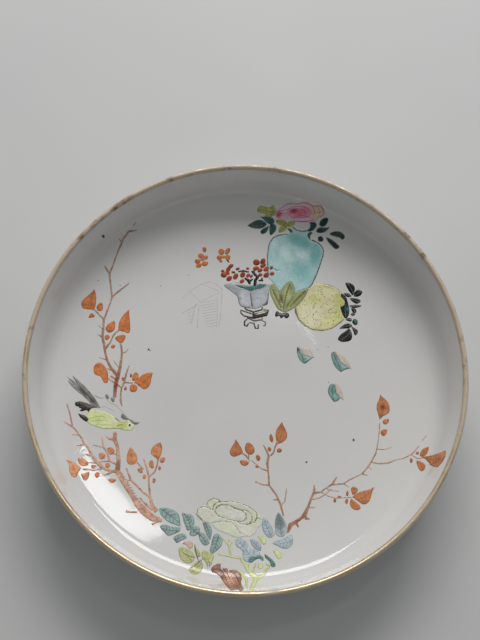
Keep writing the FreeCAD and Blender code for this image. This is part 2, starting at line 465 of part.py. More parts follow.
            [(-46, -48.6), (-45.4, -47.5), (-44.7, -48.3), (-45.2, -49.4)],
            [(-48.8, -55.4), (-48, -53.9), (-47.4, -54.8), (-48.1, -56.1)],
        ],
    },
    "middle_twigs": {
        "anchor": (12, -52),
        "film": "enamel_film",
        "strokes": [
            [(19.3, -73.6, 0.9), (18, -67.9, 1.2), (15.8, -62.6, 1), (12.2, -57.6, 1), (11.9, -50.3, 0.9),
             (11.4, -45.9, 1.5), (12.3, -42, 1.2), (11, -38.9, 0.9), (9.5, -36, 0.4)],
            [(11.5, -50, 0.9), (8.3, -48.8, 0.6), (6.1, -47, 0.5), (3, -44.2, 0.4)],
            [(2.3, -44.9, 0.5), (0.4, -42, 0.9), (-1.7, -40.4, 1.1)],
            [(1.7, -43.2, 0.6), (1.5, -41, 0.6)],
            [(12.3, -57.4, 0.9), (8.8, -57.3, 0.7), (6, -56, 0.6), (4.9, -55.6, 1.1)],
            [(13.2, -42, 0.8), (14.9, -40.2, 1), (15.8, -37.1, 0.8), (17.3, -34.2, 1.2)],
            [(16.9, -65.1, 0.9), (14.2, -65.3, 0.7)],
            [(18.6, -67.6, 0.7), (20.2, -66.2, 0.6), (20.9, -62, 0.6), (21.3, -59.2, 0.3)],
            [(8.1, -32.2, 0.3), (7.1, -30.7, 0.5)],
        ],
    },
    "middle_leaves": {
        "anchor": (5, -37),
        "film": "enamel_film",
        "under": ["middle_twigs"],
        "outlines": [
            [(-5.3, -33.1, 1), (-3.5, -35.8), (-1.9, -38.9), (-1.5, -40.6, 1), (-4, -41.7), (-7.1, -42),
             (-8.2, -40.6), (-7.1, -37.1)],
            [(0.2, -36.2), (1.5, -34.9), (3.5, -36.2), (4.5, -39.8), (2.6, -41.3), (0.8, -40.4)],
            [(-2.9, -44.6, 1), (0, -44.5), (1.5, -45.4, 1), (-0.5, -47.2), (-2.3, -46.4)],
            [(19.8, -23.8, 1), (21.5, -28.3), (22.2, -31.4), (20.2, -34.3), (17.1, -35.4, 1), (16.4, -32.6),
             (16.5, -29), (18, -26.2)],
            [(13.6, -30.2, 1), (14.7, -32.7), (14.3, -34.8, 1), (12.9, -32.6)],
            [(12, -38.6), (12.6, -37.4), (13.3, -37.9), (13.2, -39.3)],
            [(16.9, -39.2), (18.3, -38.1), (19.2, -38.9), (18, -40.2)],
            [(5.8, -41.7, 1), (7.2, -42), (7.6, -43.6), (6.6, -44.6), (5.8, -43.6)],
            [(5.2, -47.6), (6, -47.3), (7, -47.9), (6, -48.2)],
        ],
    },
    "right_twigs": {
        "anchor": (58, -55),
        "film": "enamel_film",
        "strokes": [
            [(21, -82.6, 1), (22.8, -78.3, 2.6), (25.9, -76.6, 1.8), (28.4, -74.9, 1.6), (30.2, -73.4, 2.4),
             (32.4, -68.8, 1.3), (34.3, -64, 1.2), (35.6, -61.8, 1.6), (39.4, -61.3, 0.9), (42, -59.3, 0.7),
             (45.2, -57.4, 1.1), (50.9, -57.2, 0.8), (55, -54.9, 0.6), (61.3, -52, 0.7), (64.4, -48.6, 0.8),
             (66.7, -45.2, 0.7), (69.1, -41.1, 0.8), (70.4, -36.4, 0.5), (71.7, -28.6, 0.4),
             (72.1, -24.6, 0.7)],
            [(30.4, -74.6, 2.2), (32.8, -75.4, 0.8)],
            [(25.6, -77.2, 1.6), (26.9, -79.6, 0.8)],
            [(32.2, -69.4, 0.8), (36.2, -69.5, 0.4)],
            [(35.8, -61.6, 1.2), (35.9, -57.4, 0.7)],
            [(45.6, -57, 1.2), (48.2, -53.2, 0.6)],
            [(66.6, -46, 0.7), (70.6, -46.8, 0.8), (75.3, -46.5, 0.9), (79.5, -45, 0.5), (83.6, -44.2, 0.6),
             (87.8, -42.1, 0.7), (91.9, -37.8, 0.4)],
            [(87.4, -42.4, 0.5), (90.4, -44.6, 0.6), (93, -44.4, 0.8)],
            [(93.5, -35.4, 0.3), (96.3, -32.1, 0.4)],
            [(34.6, -65, 1.1), (38.4, -64.5, 0.6), (41, -62.9, 0.6), (45, -59.8, 0.4)],
            [(39.6, -61.6, 0.6), (43.1, -63.7, 0.5), (47.2, -64.7, 0.5), (55.4, -64.4, 0.5)],
            [(42, -59.5, 0.5), (45.2, -60.6, 0.5), (48.8, -61.2, 0.4)],
            [(69.7, -38.8, 0.5), (73.8, -39.3, 0.5), (78.1, -37.9, 0.3)],
            [(51.5, -57.2, 0.7), (54.2, -59.2, 0.3)],
            [(61.2, -52, 0.7), (64.3, -53, 0.4)],
            [(64.8, -48.4, 0.6), (66.7, -50, 0.3)],
        ],
    },
    "right_leaves": {
        "anchor": (75, -45),
        "film": "enamel_film",
        "under": ["right_twigs"],
        "outlines": [
            [(72.9, -6.2, 1), (74, -10.2), (76.4, -12.6), (77.7, -16.6), (77.1, -19.2), (74.3, -20.8),
             (72.3, -24.8, 1), (71.9, -20.8), (71.2, -15.1), (72.5, -12)],
            [(73.8, -24.4, 1), (75, -23), (76.9, -22.9), (75.6, -25.4)],
            [(72.8, -31.2), (73.2, -28.8), (75.5, -28.6), (74.9, -31)],
            [(92.4, -43.9, 1), (97, -43.7), (101.8, -43.2, 1), (100.8, -46.8), (99, -49.8), (97.4, -51.5, 1),
             (95.9, -47.8), (94.8, -45.6)],
            [(91.9, -43.1, 1), (93.5, -40), (96.6, -38.7, 1), (95.6, -41.6), (94, -43.3)],
            [(90.1, -45.8, 1), (92.5, -46.8), (93.8, -48.9), (91.9, -51.5), (90.5, -49.4)],
            [(90, -41.6), (90.9, -41), (91.4, -41.7), (90.5, -42.4)],
            [(86.7, -45.6), (87.2, -44.4), (87.8, -45.4), (87.1, -46.7)],
            [(55.6, -64.4, 1), (60.2, -61.6), (64.8, -60.5), (67.5, -58.8, 1), (65.2, -63.4), (63.4, -67.1),
             (61.2, -68.1), (59.2, -67.1)],
            [(55.7, -62.9, 1), (57.1, -59.1), (58.4, -60.2), (57.1, -62.4)],
            [(55, -65.3, 1), (57, -67), (59.2, -70.2), (57.3, -71), (54.5, -69.2), (54.2, -66.8)],
            [(52.5, -62.2), (53.2, -61.1), (53.5, -62.4), (53, -63.6)],
            [(52, -65.6), (52.7, -65.2), (53, -66.6), (52.4, -67.7)],
            [(47.9, -64.3), (48.8, -63.6), (49.7, -64.3), (48.8, -64.9)],
            [(45.8, -65.6), (46.4, -64.9), (46.9, -65.8), (46.3, -66.9)],
        ],
    },
    "pale_peony": {
        "anchor": (-9, -74),
        "film": "enamel_film",
        "under": ["pale_peony_lines", "green_stems"],
        "outlines": [
            [(-20.9, -67.9, 1), (-19.6, -65.4), (-17, -64.1), (-14.6, -64.8), (-13, -66.2, 1), (-8, -65.6),
             (-3.3, -66.5), (1.5, -68.6), (5.7, -71.9), (7.9, -75.5), (7.3, -78.4), (5.4, -79.9, 1),
             (4.5, -82), (1.8, -83.9), (-1, -83.9), (-4, -84.5), (-8.3, -83.4), (-12, -81.8),
             (-16, -79.8), (-17.8, -77.2, 1), (-22.6, -75.9), (-25.8, -72.8), (-25.4, -69.8), (-23, -68.6)],
        ],
    },
    "pale_peony_lines": {
        "anchor": (-9, -72),
        "film": "wash_film",
        "strokes": [
            [(-20.9, -68.6, 0.4), (-19.8, -65.8, 0.5), (-17, -64.3, 0.6), (-14.7, -64.9, 0.6),
             (-13.2, -66.4, 0.6)],
            [(-22.6, -75.8, 0.5), (-25.6, -72.8, 0.6), (-25.2, -69.9, 0.5), (-23, -68.8, 0.6),
             (-20.4, -68.9, 0.5), (-17.6, -70.2, 0.4)],
            [(-14, -73.8, 0.6), (-16.3, -71.4, 0.6), (-15.4, -69, 0.7), (-13, -67.7, 0.7),
             (-9.4, -67.8, 0.6), (-6.8, -68.9, 0.6)],
            [(-17.4, -70.4, 0.5), (-17, -68, 0.6), (-14.8, -66.4, 0.5), (-8.2, -65.8, 0.5),
             (-3.4, -66.7, 0.4), (1.4, -68.8, 0.5), (5.5, -72, 0.5)],
            [(-6.8, -69.2, 0.7), (-3.6, -70.3, 0.8), (0.4, -70.8, 0.5), (2.8, -73, 0.5), (3, -75.6, 0.5),
             (1.6, -77.7, 0.6), (-2, -78, 0.5), (-4.6, -76.8, 0.4)],
            [(-2.2, -70.8, 0.5), (-0.2, -72.6, 0.5), (0, -74.8, 0.5), (-2, -76.4, 0.5), (-5, -76.3, 0.5),
             (-9, -75.4, 0.4), (-14, -73.8, 0.5)],
            [(2, -77.8, 0.5), (4.2, -76.8, 0.5), (5.5, -74.6, 0.6), (5.4, -72.2, 0.5)],
            [(5.5, -74.5, 0.5), (7.7, -75.5, 0.5)],
            [(-17.6, -77.1, 0.4), (-13.6, -76.3, 0.4), (-8.4, -76.4, 0.3), (-5.6, -79, 0.4),
             (-3.2, -82.4, 0.4), (-1, -83.7, 0.3)],
        ],
    },
    "teal_leaves_left": {
        "anchor": (-28, -80),
        "film": "enamel_film",
        "outlines": [
            [(-44.8, -69.6, 1), (-41.9, -69.5), (-38.3, -70.4), (-35.4, -72.6), (-34.5, -75.5),
             (-34.2, -78.7, 1), (-36.2, -78), (-39.8, -76.6), (-43, -74), (-44.7, -71.4)],
            [(-44.3, -78.8), (-41.9, -78.1), (-39.8, -78.7), (-36.5, -79.4), (-34.2, -79.6, 1),
             (-35.1, -81.6), (-36.9, -82.4), (-40.1, -83.4), (-42.3, -81.6)],
            [(-37.6, -84.8, 1), (-35.1, -83.1), (-32.2, -82.9), (-30.9, -84.8, 1), (-33.3, -85.9),
             (-35.8, -87.2, 1)],
            [(-33.3, -71.5, 1), (-31.8, -73.1), (-29.7, -72.6), (-27.5, -74.4), (-27.2, -77.3),
             (-28.6, -80), (-30.4, -80.9, 1), (-31.8, -77.3), (-32.7, -74.4)],
            [(-29.1, -83, 1), (-28.6, -80.7), (-26.4, -78.8), (-24.2, -80.2), (-24.9, -82.3), (-26.8, -83.6)],
            [(-24.6, -81.8, 1), (-21.8, -82.7), (-20.4, -84.5), (-19.2, -87.4, 1), (-21.8, -88.3),
             (-23.9, -85.6)],
            [(-22.5, -76.6, 1), (-19.8, -77.6), (-18.2, -80.2), (-18.2, -83), (-18.9, -85.6, 1),
             (-20.7, -82.3), (-21.8, -79.4)],
            [(-18.2, -88.8), (-17.4, -85.2), (-15.6, -82.8), (-12.9, -85.2), (-12.9, -88.1), (-15.3, -91),
             (-17.8, -92.9, 1), (-18.9, -91, 1)],
        ],
    },
    "light_green_leaves": {
        "anchor": (-26, -95),
        "film": "enamel_film",
        "under": ["teal_leaves_left"],
        "outlines": [
            [(-34, -89.5), (-31.8, -89.6), (-28.8, -91.2), (-26.9, -93.8), (-27.1, -96), (-30.4, -97.4),
             (-32.9, -96), (-34.4, -93)],
            [(-26.3, -87.7, 1), (-25.4, -90.6), (-24.2, -92), (-23.8, -94), (-24.8, -94.4),
             (-26.2, -92.6), (-26.8, -90)],
            [(-22.8, -95, 1), (-21.4, -91.2), (-19.6, -92), (-17, -93.6), (-17.4, -95.8),
             (-18, -98.6, 1), (-19.2, -97), (-20.1, -100.2, 1), (-20.9, -97)],
            [(-29.3, -100.7, 1), (-26.8, -97.8), (-23.6, -96.2, 1), (-22.5, -99.2), (-23.9, -102.1),
             (-26.4, -103.2), (-28.2, -102.5)],
        ],
    },
    "leaf_bud": {
        "anchor": (-30, -88),
        "film": "wash_film",
        "under": ["light_green_leaves"],
        "outlines": [
            [(-32.9, -87.7, 1), (-30, -86.3), (-27.6, -87.6), (-28.6, -90.2), (-30.4, -89)],
        ],
    },
    "rock_stump": {
        "anchor": (-9, -105),
        "film": "enamel_film",
        "under": ["green_stems"],
        "outlines": [
            [(-18, -100), (-16.7, -98.6), (-13.1, -97.9, 1), (-13.6, -99.6), (-12.4, -101, 1), (-10.4, -100),
             (-9.6, -102.4, 1), (-8.4, -101, 1), (-5.4, -101.4), (-2.9, -104.6), (-3.2, -108), (-2.4, -110.8),
             (-4, -112.4, 1), (-6.2, -111.2), (-8.1, -111.6), (-10.2, -109.8), (-12.4, -106.4),
             (-14.6, -103.2), (-17.6, -102.1, 1)],
        ],
    },
    "green_stems": {
        "anchor": (2, -100),
        "film": "enamel_film",
        "outlines": [
            [(5.7, -84.3, 1), (8.6, -84.8), (10, -87), (8.9, -88.3), (7.4, -86.8)],
            [(13.6, -91.2, 1), (15.6, -91.4), (17.6, -93.6), (16.6, -95.6), (14.9, -94.2)],
            [(5.5, -98.6), (6.9, -97.6), (8.2, -98.9), (6.8, -100.3)],
            [(9.9, -97.6), (11.4, -97.8), (11.9, -98.8), (10.4, -99)],
        ],
        "strokes": [
            [(0.9, -112.4, 1.4), (3.2, -107.9, 2), (5, -104.6, 2.6), (8.6, -103.6, 1), (9.7, -100.9, 0.9),
             (11.6, -99.4, 0.6)],
            [(4.6, -104.4, 2), (2.6, -102.4, 1), (4.6, -97.6, 0.5)],
            [(-3.6, -94.9, 1), (-0.8, -98.9, 1.4), (1.8, -103.2, 1.4), (4.4, -104.8, 1.4)],
            [(-0.6, -110.6, 0.8), (-0.4, -105.7, 1.4), (-3.1, -102.3, 1.2), (-5.6, -100.6, 0.5)],
            [(-3.4, -95, 1), (-8, -94.3, 1.1), (-8.8, -90.6, 1), (-9.1, -85.4, 0.7)],
            [(-9, -88.6, 0.8), (-12.5, -84.9, 0.7)],
            [(-8.8, -88.4, 0.7), (-7.3, -87, 0.5)],
            [(-8, -94.2, 0.8), (-14.8, -92.9, 0.7)],
            [(0.4, -99.6, 0.8), (0.9, -97.8, 0.5)],
        ],
    },
    "blue_leaves_right": {
        "anchor": (9, -86),
        "film": "enamel_film",
        "under": ["green_stems", "dark_leaf_tips", "right_twigs"],
        "outlines": [
            [(8.2, -76.6, 1), (9.3, -74.6), (11.1, -76.4), (13.5, -80.5), (14.4, -83, 1), (11.8, -84.7),
             (9.7, -83), (8.3, -79.8)],
            [(15, -80.9, 1), (15.4, -74.6), (16.7, -71.8, 1), (18.6, -74.2), (20.4, -78), (20, -82.4, 1),
             (17.6, -84.4), (15.8, -83.6)],
            [(13.3, -87.7, 1), (16.2, -86.3), (20.1, -84.9), (23, -83.6), (23.7, -86.3), (22.3, -89.4),
             (20.1, -90.4), (16.9, -89.5)],
            [(-5.4, -85.9, 1), (-3.3, -85), (-0.4, -87), (2.5, -90.4), (6.6, -92.4), (6.2, -94),
             (3.2, -95.6), (1, -97), (-1.8, -95.3), (-2.2, -91.3), (-4.7, -89.4)],
            [(1.8, -85.6, 1), (4.6, -86), (7.2, -88.8), (6.9, -91.4, 1), (3.6, -89.6)],
        ],
    },
    "dark_leaf_tips": {
        "anchor": (8, -95),
        "film": "enamel_film",
        "outlines": [
            [(0.8, -96.8), (1.2, -95.2), (4, -94.4), (6.4, -93.6), (8.5, -95.4), (8, -96.6, 1), (6.2, -95.4),
             (3.6, -96.4), (2, -97.4)],
            [(9.1, -92.9, 1), (11.8, -95), (14, -97.4), (14.3, -99.2), (12.9, -99.7), (11.8, -97.4),
             (9.8, -95.3)],
        ],
    },
}


class Size:
    """A length or angle kept both as a formula on the sheet's aliases and as its present value."""

    def __init__(self, text, value):
        self.text = text
        self.value = value

    def __add__(self, other):
        return Size(f"({self.text} + {other.text})", self.value + other.value)

    def __sub__(self, other):
        return Size(f"({self.text} - {other.text})", self.value - other.value)

    def __mul__(self, other):
        return Size(f"({self.text} * {other.text})", self.value * other.value)

    def __truediv__(self, other):
        return Size(f"({self.text} / {other.text})", self.value / other.value)


def size(alias):
    return Size(f"dims.{alias}", SIZES[alias])


def sine(angle):
    return Size(f"sin({angle.text})", math.sin(math.radians(angle.value)))


def cosine(angle):
    return Size(f"cos({angle.text})", math.cos(math.radians(angle.value)))


ZERO = Size("0", 0.0)


def polar(centre, radius, angle):
    """The point at a radius from a centre, where the angle is measured up from straight down."""
    return (centre[0] + radius * sine(angle), centre[1] - radius * cosine(angle))


class DishSection:
    """The dish's half section. Every surface is worked out from the driving sizes and an offset."""

    def __init__(self):
        self.swell = size("swell_radius")
        self.corner = size("corner_radius")
        self.lip = size("lip_radius")
        self.shallow = size("swell_angle")
        self.steep = size("wall_angle")
        reach = self.swell - self.corner
        swell_z = size("well_height") + self.swell
        corner_z = swell_z - reach * cosine(self.shallow)
        lip_z = size("rim_height") - self.lip
        rise = lip_z - corner_z + (self.corner + self.lip) * cosine(self.steep)
        self.wall = rise / sine(self.steep)
        lip_r = size("rim_radius") - self.lip
        run = self.wall * cosine(self.steep) + (self.corner + self.lip) * sine(self.steep)
        corner_r = lip_r - run
        self.well_r = corner_r - reach * sine(self.shallow)
        self.swell_centre = (self.well_r, swell_z)
        self.corner_centre = (corner_r, corner_z)
        self.lip_centre = (lip_r, lip_z)

    def wall_point(self, offset, below_lip):
        """A point on the inner wall, a distance below the start of the rounded lip."""
        r, z = polar(self.corner_centre, self.corner - offset, self.steep)
        along = self.wall - below_lip
        return (r + along * cosine(self.steep), z + along * sine(self.steep))

    def upper_side(self, offset, below_lip):
        """From the axis over the well and the swell and up the wall."""
        swell = self.swell - offset
        corner = self.corner - offset
        return [
            (ZERO, size("well_height") + offset),
            (self.well_r, size("well_height") + offset),
            (*polar(self.swell_centre, swell, self.shallow), swell, self.swell_centre),
            (*polar(self.corner_centre, corner, self.steep), corner, self.corner_centre),
            self.wall_point(offset, below_lip),
        ]

    def lip_arcs(self, offset):
        """Over the lip, as one arc to its highest point and one that ends on the outer wall."""
        radius = self.lip + offset
        top = (self.lip_centre[0], self.lip_centre[1] + radius)
        return [
            (*top, radius, self.lip_centre),
            (*polar(self.lip_centre, radius, self.steep), radius, self.lip_centre),
        ]

    def lip_facets(self, offset):
        """Over the lip in flats that touch its round section, from the inner wall to the outer one."""
        radius = self.lip + offset
        half = size("gilt_facet_angle")
        reach = ZERO - radius / cosine(half)
        angle = self.steep - half
        facets = []
        for _ in range(round(90.0 / half.value)):
            facets.append(polar(self.lip_centre, reach, angle))
            angle = angle - half - half
        return [*facets, polar(self.lip_centre, radius, self.steep)]

    def outer_side(self, offset):
        """Down the outer wall, round the corner and under the dish to the top of the foot ring."""
        radius = self.corner + size("wall_thickness") + offset
        return [
            polar(self.corner_centre, radius, self.steep),
            (*polar(self.corner_centre, radius, self.shallow), radius, self.corner_centre),
            (size("foot_outer_radius") + offset, size("foot_height") - offset),
        ]

    def recess_side(self, offset, foot):
        """From the axis under the dish's floor and down the inside of the foot ring."""
        side = size("recess_radius") - offset
        fillet = size("recess_fillet")
        centre = (size("recess_radius") - fillet, size("recess_height") - fillet)
        return [
            (ZERO, size("recess_height") - offset),
            (centre[0], size("recess_height") - offset),
            (side, centre[1], fillet - offset, centre),
            (side, foot),
        ]


def reverse_path(path):
    """The same chain walked backwards: each arc moves to the point at its other end."""
    backwards = []
    arc = ()
    for point in reversed(path):
        backwards.append((*point[:2], *arc))
        arc = tuple(point[2:])
    return backwards


def origin_plane(body, role):
    for feature in body.Origin.OriginFeatures:
        if feature.Role == role:
            return feature
    raise RuntimeError(f"{body.Name} has no plane {role}")


def side_of(start, end):
    """The straight or round side of a section between two points."""
    first = FreeCAD.Vector(start[0].value, start[1].value, 0)
    last = FreeCAD.Vector(end[0].value, end[1].value, 0)
    if len(end) == 2:
        return Part.LineSegment(first, last)
    centre = FreeCAD.Vector(end[3][0].value, end[3][1].value, 0)
    middle = (first + last).multiply(0.5).sub(centre).normalize()
    middle = centre + middle.multiply(end[2].value)
    clockwise = (middle - first).cross(last - middle).z < 0
    return Part.Arc(last, middle, first) if clockwise else Part.Arc(first, middle, last)


def turned_sketch(body, name, path):
    """A closed half section on the body's XZ plane, each corner and radius bound to the sheet."""
    sketch = body.newObject("Sketcher::SketchObject", name)
    sketch.AttachmentSupport = (origin_plane(body, "XZ_Plane"), [""])
    sketch.MapMode = "FlatFace"
    ends = []
    for index, point in enumerate(path):
        side = sketch.addGeometry(side_of(path[index - 1], point), False)
        target = FreeCAD.Vector(point[0].value, point[1].value, 0)
        near = [sketch.getPoint(side, which).distanceToPoint(target) for which in (1, 2)]
        end = 1 if near[0] < near[1] else 2
        ends.append((side, end, 3 - end))
    for index, point in enumerate(path):
        side, end, _ = ends[index]
        following, _, start = ends[(index + 1) % len(ends)]
        sketch.addConstraint(Sketcher.Constraint("Coincident", side, end, following, start))
        for kind, axis, place in (("DistanceX", -2, point[0]), ("DistanceY", -1, point[1])):
            if place is ZERO:
                sketch.addConstraint(Sketcher.Constraint("PointOnObject", side, end, axis))
                continue
            rule = sketch.addConstraint(Sketcher.Constraint(kind, -1, 1, side, end, place.value))
            sketch.setExpression(f"Constraints[{rule}]", place.text)
        if len(point) > 2:
            rule = sketch.addConstraint(Sketcher.Constraint("Radius", side, point[2].value))
            sketch.setExpression(f"Constraints[{rule}]", point[2].text)
    return sketch


def turn(body, feature, sketch):
    """Turns a half section right round the dish's axis."""
    turned = body.newObject(feature, f"{sketch.Name}_turned")
    turned.Profile = sketch
    turned.ReferenceAxis = (sketch, ["V_Axis"])
    turned.Angle = 360.0
    sketch.Visibility = False
    return turned


def turned_body(name, path):
    body = doc.addObject("PartDesign::Body", name)
    turn(body, "PartDesign::Revolution", turned_sketch(body, f"{name}_section", path))
    return body


def make_porcelain_body():
    """The paste: one thrown wall and floor, then the foot ring's recess turned out of it."""
    bare = ZERO - size("glaze_thickness")
    outside = size("foot_outer_radius") + bare
    section = DISH.upper_side(bare, ZERO)
    section += DISH.lip_arcs(bare)
    section += DISH.outer_side(bare)
    section += [
        (outside, size("rest_bevel")),
        (size("rest_outer_radius"), ZERO),
        (ZERO, ZERO),
    ]
    body = turned_body("porcelain_body", section)
    recess = DISH.recess_side(bare, size("rest_bevel"))
    recess += [
        (size("rest_inner_radius"), ZERO),
        (ZERO, ZERO),
    ]
    doc.recompute()
    before = body.Shape.Volume
    turn(body, "PartDesign::Groove", turned_sketch(body, "foot_recess_section", recess))
    doc.recompute()
    if body.Shape.Volume > 0.9 * before:
        raise RuntimeError("the groove cut no recess")
    return body


def make_glaze_coat():
    """Clear glaze over the upper side, the lip and the outside, ending just above the bare rest."""
    bare = ZERO - size("glaze_thickness")
    inside = DISH.upper_side(bare, ZERO)
    inside += DISH.lip_arcs(bare)
    inside += DISH.outer_side(bare)
    inside.append((size("foot_outer_radius") + bare, size("glaze_line")))
    outside = DISH.upper_side(ZERO, ZERO)
    outside += DISH.lip_arcs(ZERO)
    outside += DISH.outer_side(ZERO)
    outside.append((size("foot_outer_radius"), size("glaze_line")))
    return turned_body("glaze_coat", outside + reverse_path(inside))


def make_glaze_base():
    """Clear glaze on the floor and the inner side of the foot ring's recess."""
    bare = ZERO - size("glaze_thickness")
    inside = DISH.recess_side(ZERO, size("glaze_line"))
    outside = DISH.recess_side(bare, size("glaze_line"))
    return turned_body("glaze_base", inside + reverse_path(outside))


def make_gilt_rim():
    """Gilding fired over the lip and a narrow band of the inner wall, laid over the lip in flats."""
    gilt = size("gilt_thickness")
    under = [DISH.wall_point(ZERO, size("gilt_width")), *DISH.lip_facets(ZERO)]
    over = [DISH.wall_point(gilt, size("gilt_width")), *DISH.lip_facets(gilt)]
    return turned_body("gilt_rim", under + reverse_path(over))


def make_film(name, thickness_alias):
    """A film on the glazed upper side, from which enamels of one thickness are cut."""
    edge = size("gilt_width") + size("gilt_gap")
    under = DISH.upper_side(ZERO, edge)
    over = DISH.upper_side(size(thickness_alias), edge)
    return turned_body(name, under + reverse_path(over))


def outline_edges(points):
    """Smooth curves through an outline's points, broken only at its sharp points."""
    places = [FreeCAD.Vector(point[0], point[1], 0) for point in points]
    sharp = [index for index, point in enumerate(points) if len(point) > 2]
    if not sharp:
        curve = Part.BSplineCurve()
        curve.interpolate(Points=places, PeriodicFlag=True)
        return [curve]
    edges = []
    for start, end in zip(sharp, sharp[1:] + [sharp[0] + len(points)]):
        run = [places[index % len(places)] for index in range(start, end + 1)]
        if len(run) == 2:
            edges.append(Part.LineSegment(run[0], run[1]))
            continue
        curve = Part.BSplineCurve()
        curve.interpolate(Points=run)
        edges.append(curve)
    return edges


def stroke_outline(points):
    """The outline of a tapering brush stroke, as two straight-sided banks and square ends."""
    left = []
    right = []
    for index, (x, y, width) in enumerate(points):
        before = points[max(index - 1, 0)]
        after = points[min(index + 1, len(points) - 1)]
        along = math.hypot(after[0] - before[0], after[1] - before[1])
        across = ((before[1] - after[1]) / along, (after[0] - before[0]) / along)
        left.append((x + across[0] * width / 2, y + across[1] * width / 2, 1))
        right.append((x - across[0] * width / 2, y - across[1] * width / 2, 1))
    return left + right[::-1]


def petal_outline(x, y, long_half, short_half, turned):
    """An oval petal, its long axis turned anticlockwise by an angle in degrees."""
    points = []
    for step in range(8):
        around = math.radians(45 * step)
        along = long_half * math.cos(around)
        across = short_half * math.sin(around)
        tilt = math.radians(turned)
        points.append((x + along * math.cos(tilt) - across * math.sin(tilt),
                       y + along * math.sin(tilt) + across * math.cos(tilt)))
    return points


def make_prism(name, motif):
    """Every outline of a motif drawn up through the dish, as one fused prism."""
    outlines = list(motif.get("outlines", []))
    outlines += [stroke_outline(stroke) for stroke in motif.get("strokes", [])]
    outlines += [petal_outline(*petal) for petal in motif.get("petals", [])]
    anchor = FreeCAD.Vector(*motif["anchor"], 0)
    prisms = []
    for number, points in enumerate(outlines, 1):
        sketch = doc.addObject("Sketcher::SketchObject", f"{name}_outline_{number}")
        for edge in outline_edges(points):
            edge.translate(anchor.negative())
            sketch.addGeometry(edge, False)
        sketch.setExpression("Placement.Base.x", f"dims.{name}_x")
        sketch.setExpression("Placement.Base.y", f"dims.{name}_y")
        prism = doc.addObject("Part::Extrusion", f"{name}_prism_{number}")
        prism.Base = sketch
        prism.DirMode = "Custom"
        prism.Dir = FreeCAD.Vector(0, 0, 1)
        prism.Solid = True
        prism.setExpression("LengthFwd", "dims.rim_height")
        prisms.append(prism)
    if len(prisms) == 1:
        return prisms[0]
    fused = doc.addObject("Part::MultiFuse", f"{name}_prisms")
    fused.Shapes = prisms
    return fused


def make_enamel(name, motif, films, prisms):
    """A motif's prism cut out of its film, less the motifs that are brushed over it."""
    enamel = doc.addObject("Part::MultiCommon", f"{name}_enamel")
    enamel.Shapes = [prisms[name], films[motif["film"]]]
    for over in motif.get("under", []):
        cut = doc.addObject("Part::Cut", f"{name}_under_{over}")
        cut.Base = enamel
        cut.Tool = prisms[over]
        enamel = cut
    enamel.Label = name
    return enamel


def check_document():
    for item in doc.Objects:
        if "Invalid" in item.State or "Error" in item.State:
            raise RuntimeError(f"{item.Label} failed: {item.State}")


def check_shape(node):
    if node.Shape.isNull() or not node.Shape.isValid() or not node.Shape.Solids:
        raise RuntimeError(f"{node.Label} has no valid solid")


doc = FreeCAD.newDocument("painted_dish")
sheet = doc.addObject("Spreadsheet::Sheet", "dims")
for motif_name, motif_shape in MOTIFS.items():
    SIZES[f"{motif_name}_x"], SIZES[f"{motif_name}_y"] = motif_shape["anchor"]
for row, (alias, number) in enumerate(SIZES.items(), 1):
    sheet.set(f"A{row}", alias)
    sheet.set(f"B{row}", str(number))
    sheet.setAlias(f"B{row}", alias)
doc.recompute()

DISH = DishSection()
nodes = [make_porcelain_body(), make_glaze_coat(), make_glaze_base(), make_gilt_rim()]
film_bodies = {
    "enamel_film": make_film("enamel_film", "enamel_thickness"),
    "wash_film": make_film("wash_film", "wash_thickness"),
}
motif_prisms = {name: make_prism(name, motif) for name, motif in MOTIFS.items()}
nodes += [make_enamel(name, motif, film_bodies, motif_prisms) for name, motif in MOTIFS.items()]
doc.recompute()
check_document()

os.makedirs("parts", exist_ok=True)
for node in nodes:
    check_shape(node)
    node.Shape.exportStep(f"parts/{node.Label}.step")
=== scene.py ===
"""A hand painted porcelain saucer dish: paste, glaze, gilding and every enamel of its painting.

Painting and section sizes are in millimetres on the dish: +X right, +Y the top of the painting and
+Z up from the plane that the foot ring rests on.
"""
import bpy
import random
import numpy as np
from math import asin, ceil, cos, exp, hypot, pi, radians, sin, tan
from mathutils import Matrix, Quaternion, Vector, geometry, kdtree, noise


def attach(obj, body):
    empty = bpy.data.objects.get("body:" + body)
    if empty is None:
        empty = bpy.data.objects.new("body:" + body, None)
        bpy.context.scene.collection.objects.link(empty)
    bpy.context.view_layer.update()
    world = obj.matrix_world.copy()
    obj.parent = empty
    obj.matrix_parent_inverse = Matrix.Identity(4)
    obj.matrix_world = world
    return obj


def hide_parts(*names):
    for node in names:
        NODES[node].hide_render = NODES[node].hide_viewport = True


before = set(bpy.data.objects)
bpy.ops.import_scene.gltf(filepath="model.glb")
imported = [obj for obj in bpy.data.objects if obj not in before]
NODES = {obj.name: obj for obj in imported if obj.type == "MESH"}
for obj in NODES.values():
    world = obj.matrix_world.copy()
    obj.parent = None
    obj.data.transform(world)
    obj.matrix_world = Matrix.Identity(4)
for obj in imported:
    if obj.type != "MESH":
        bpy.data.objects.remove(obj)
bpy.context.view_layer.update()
SCENE = bpy.context.scene
MM = 0.001

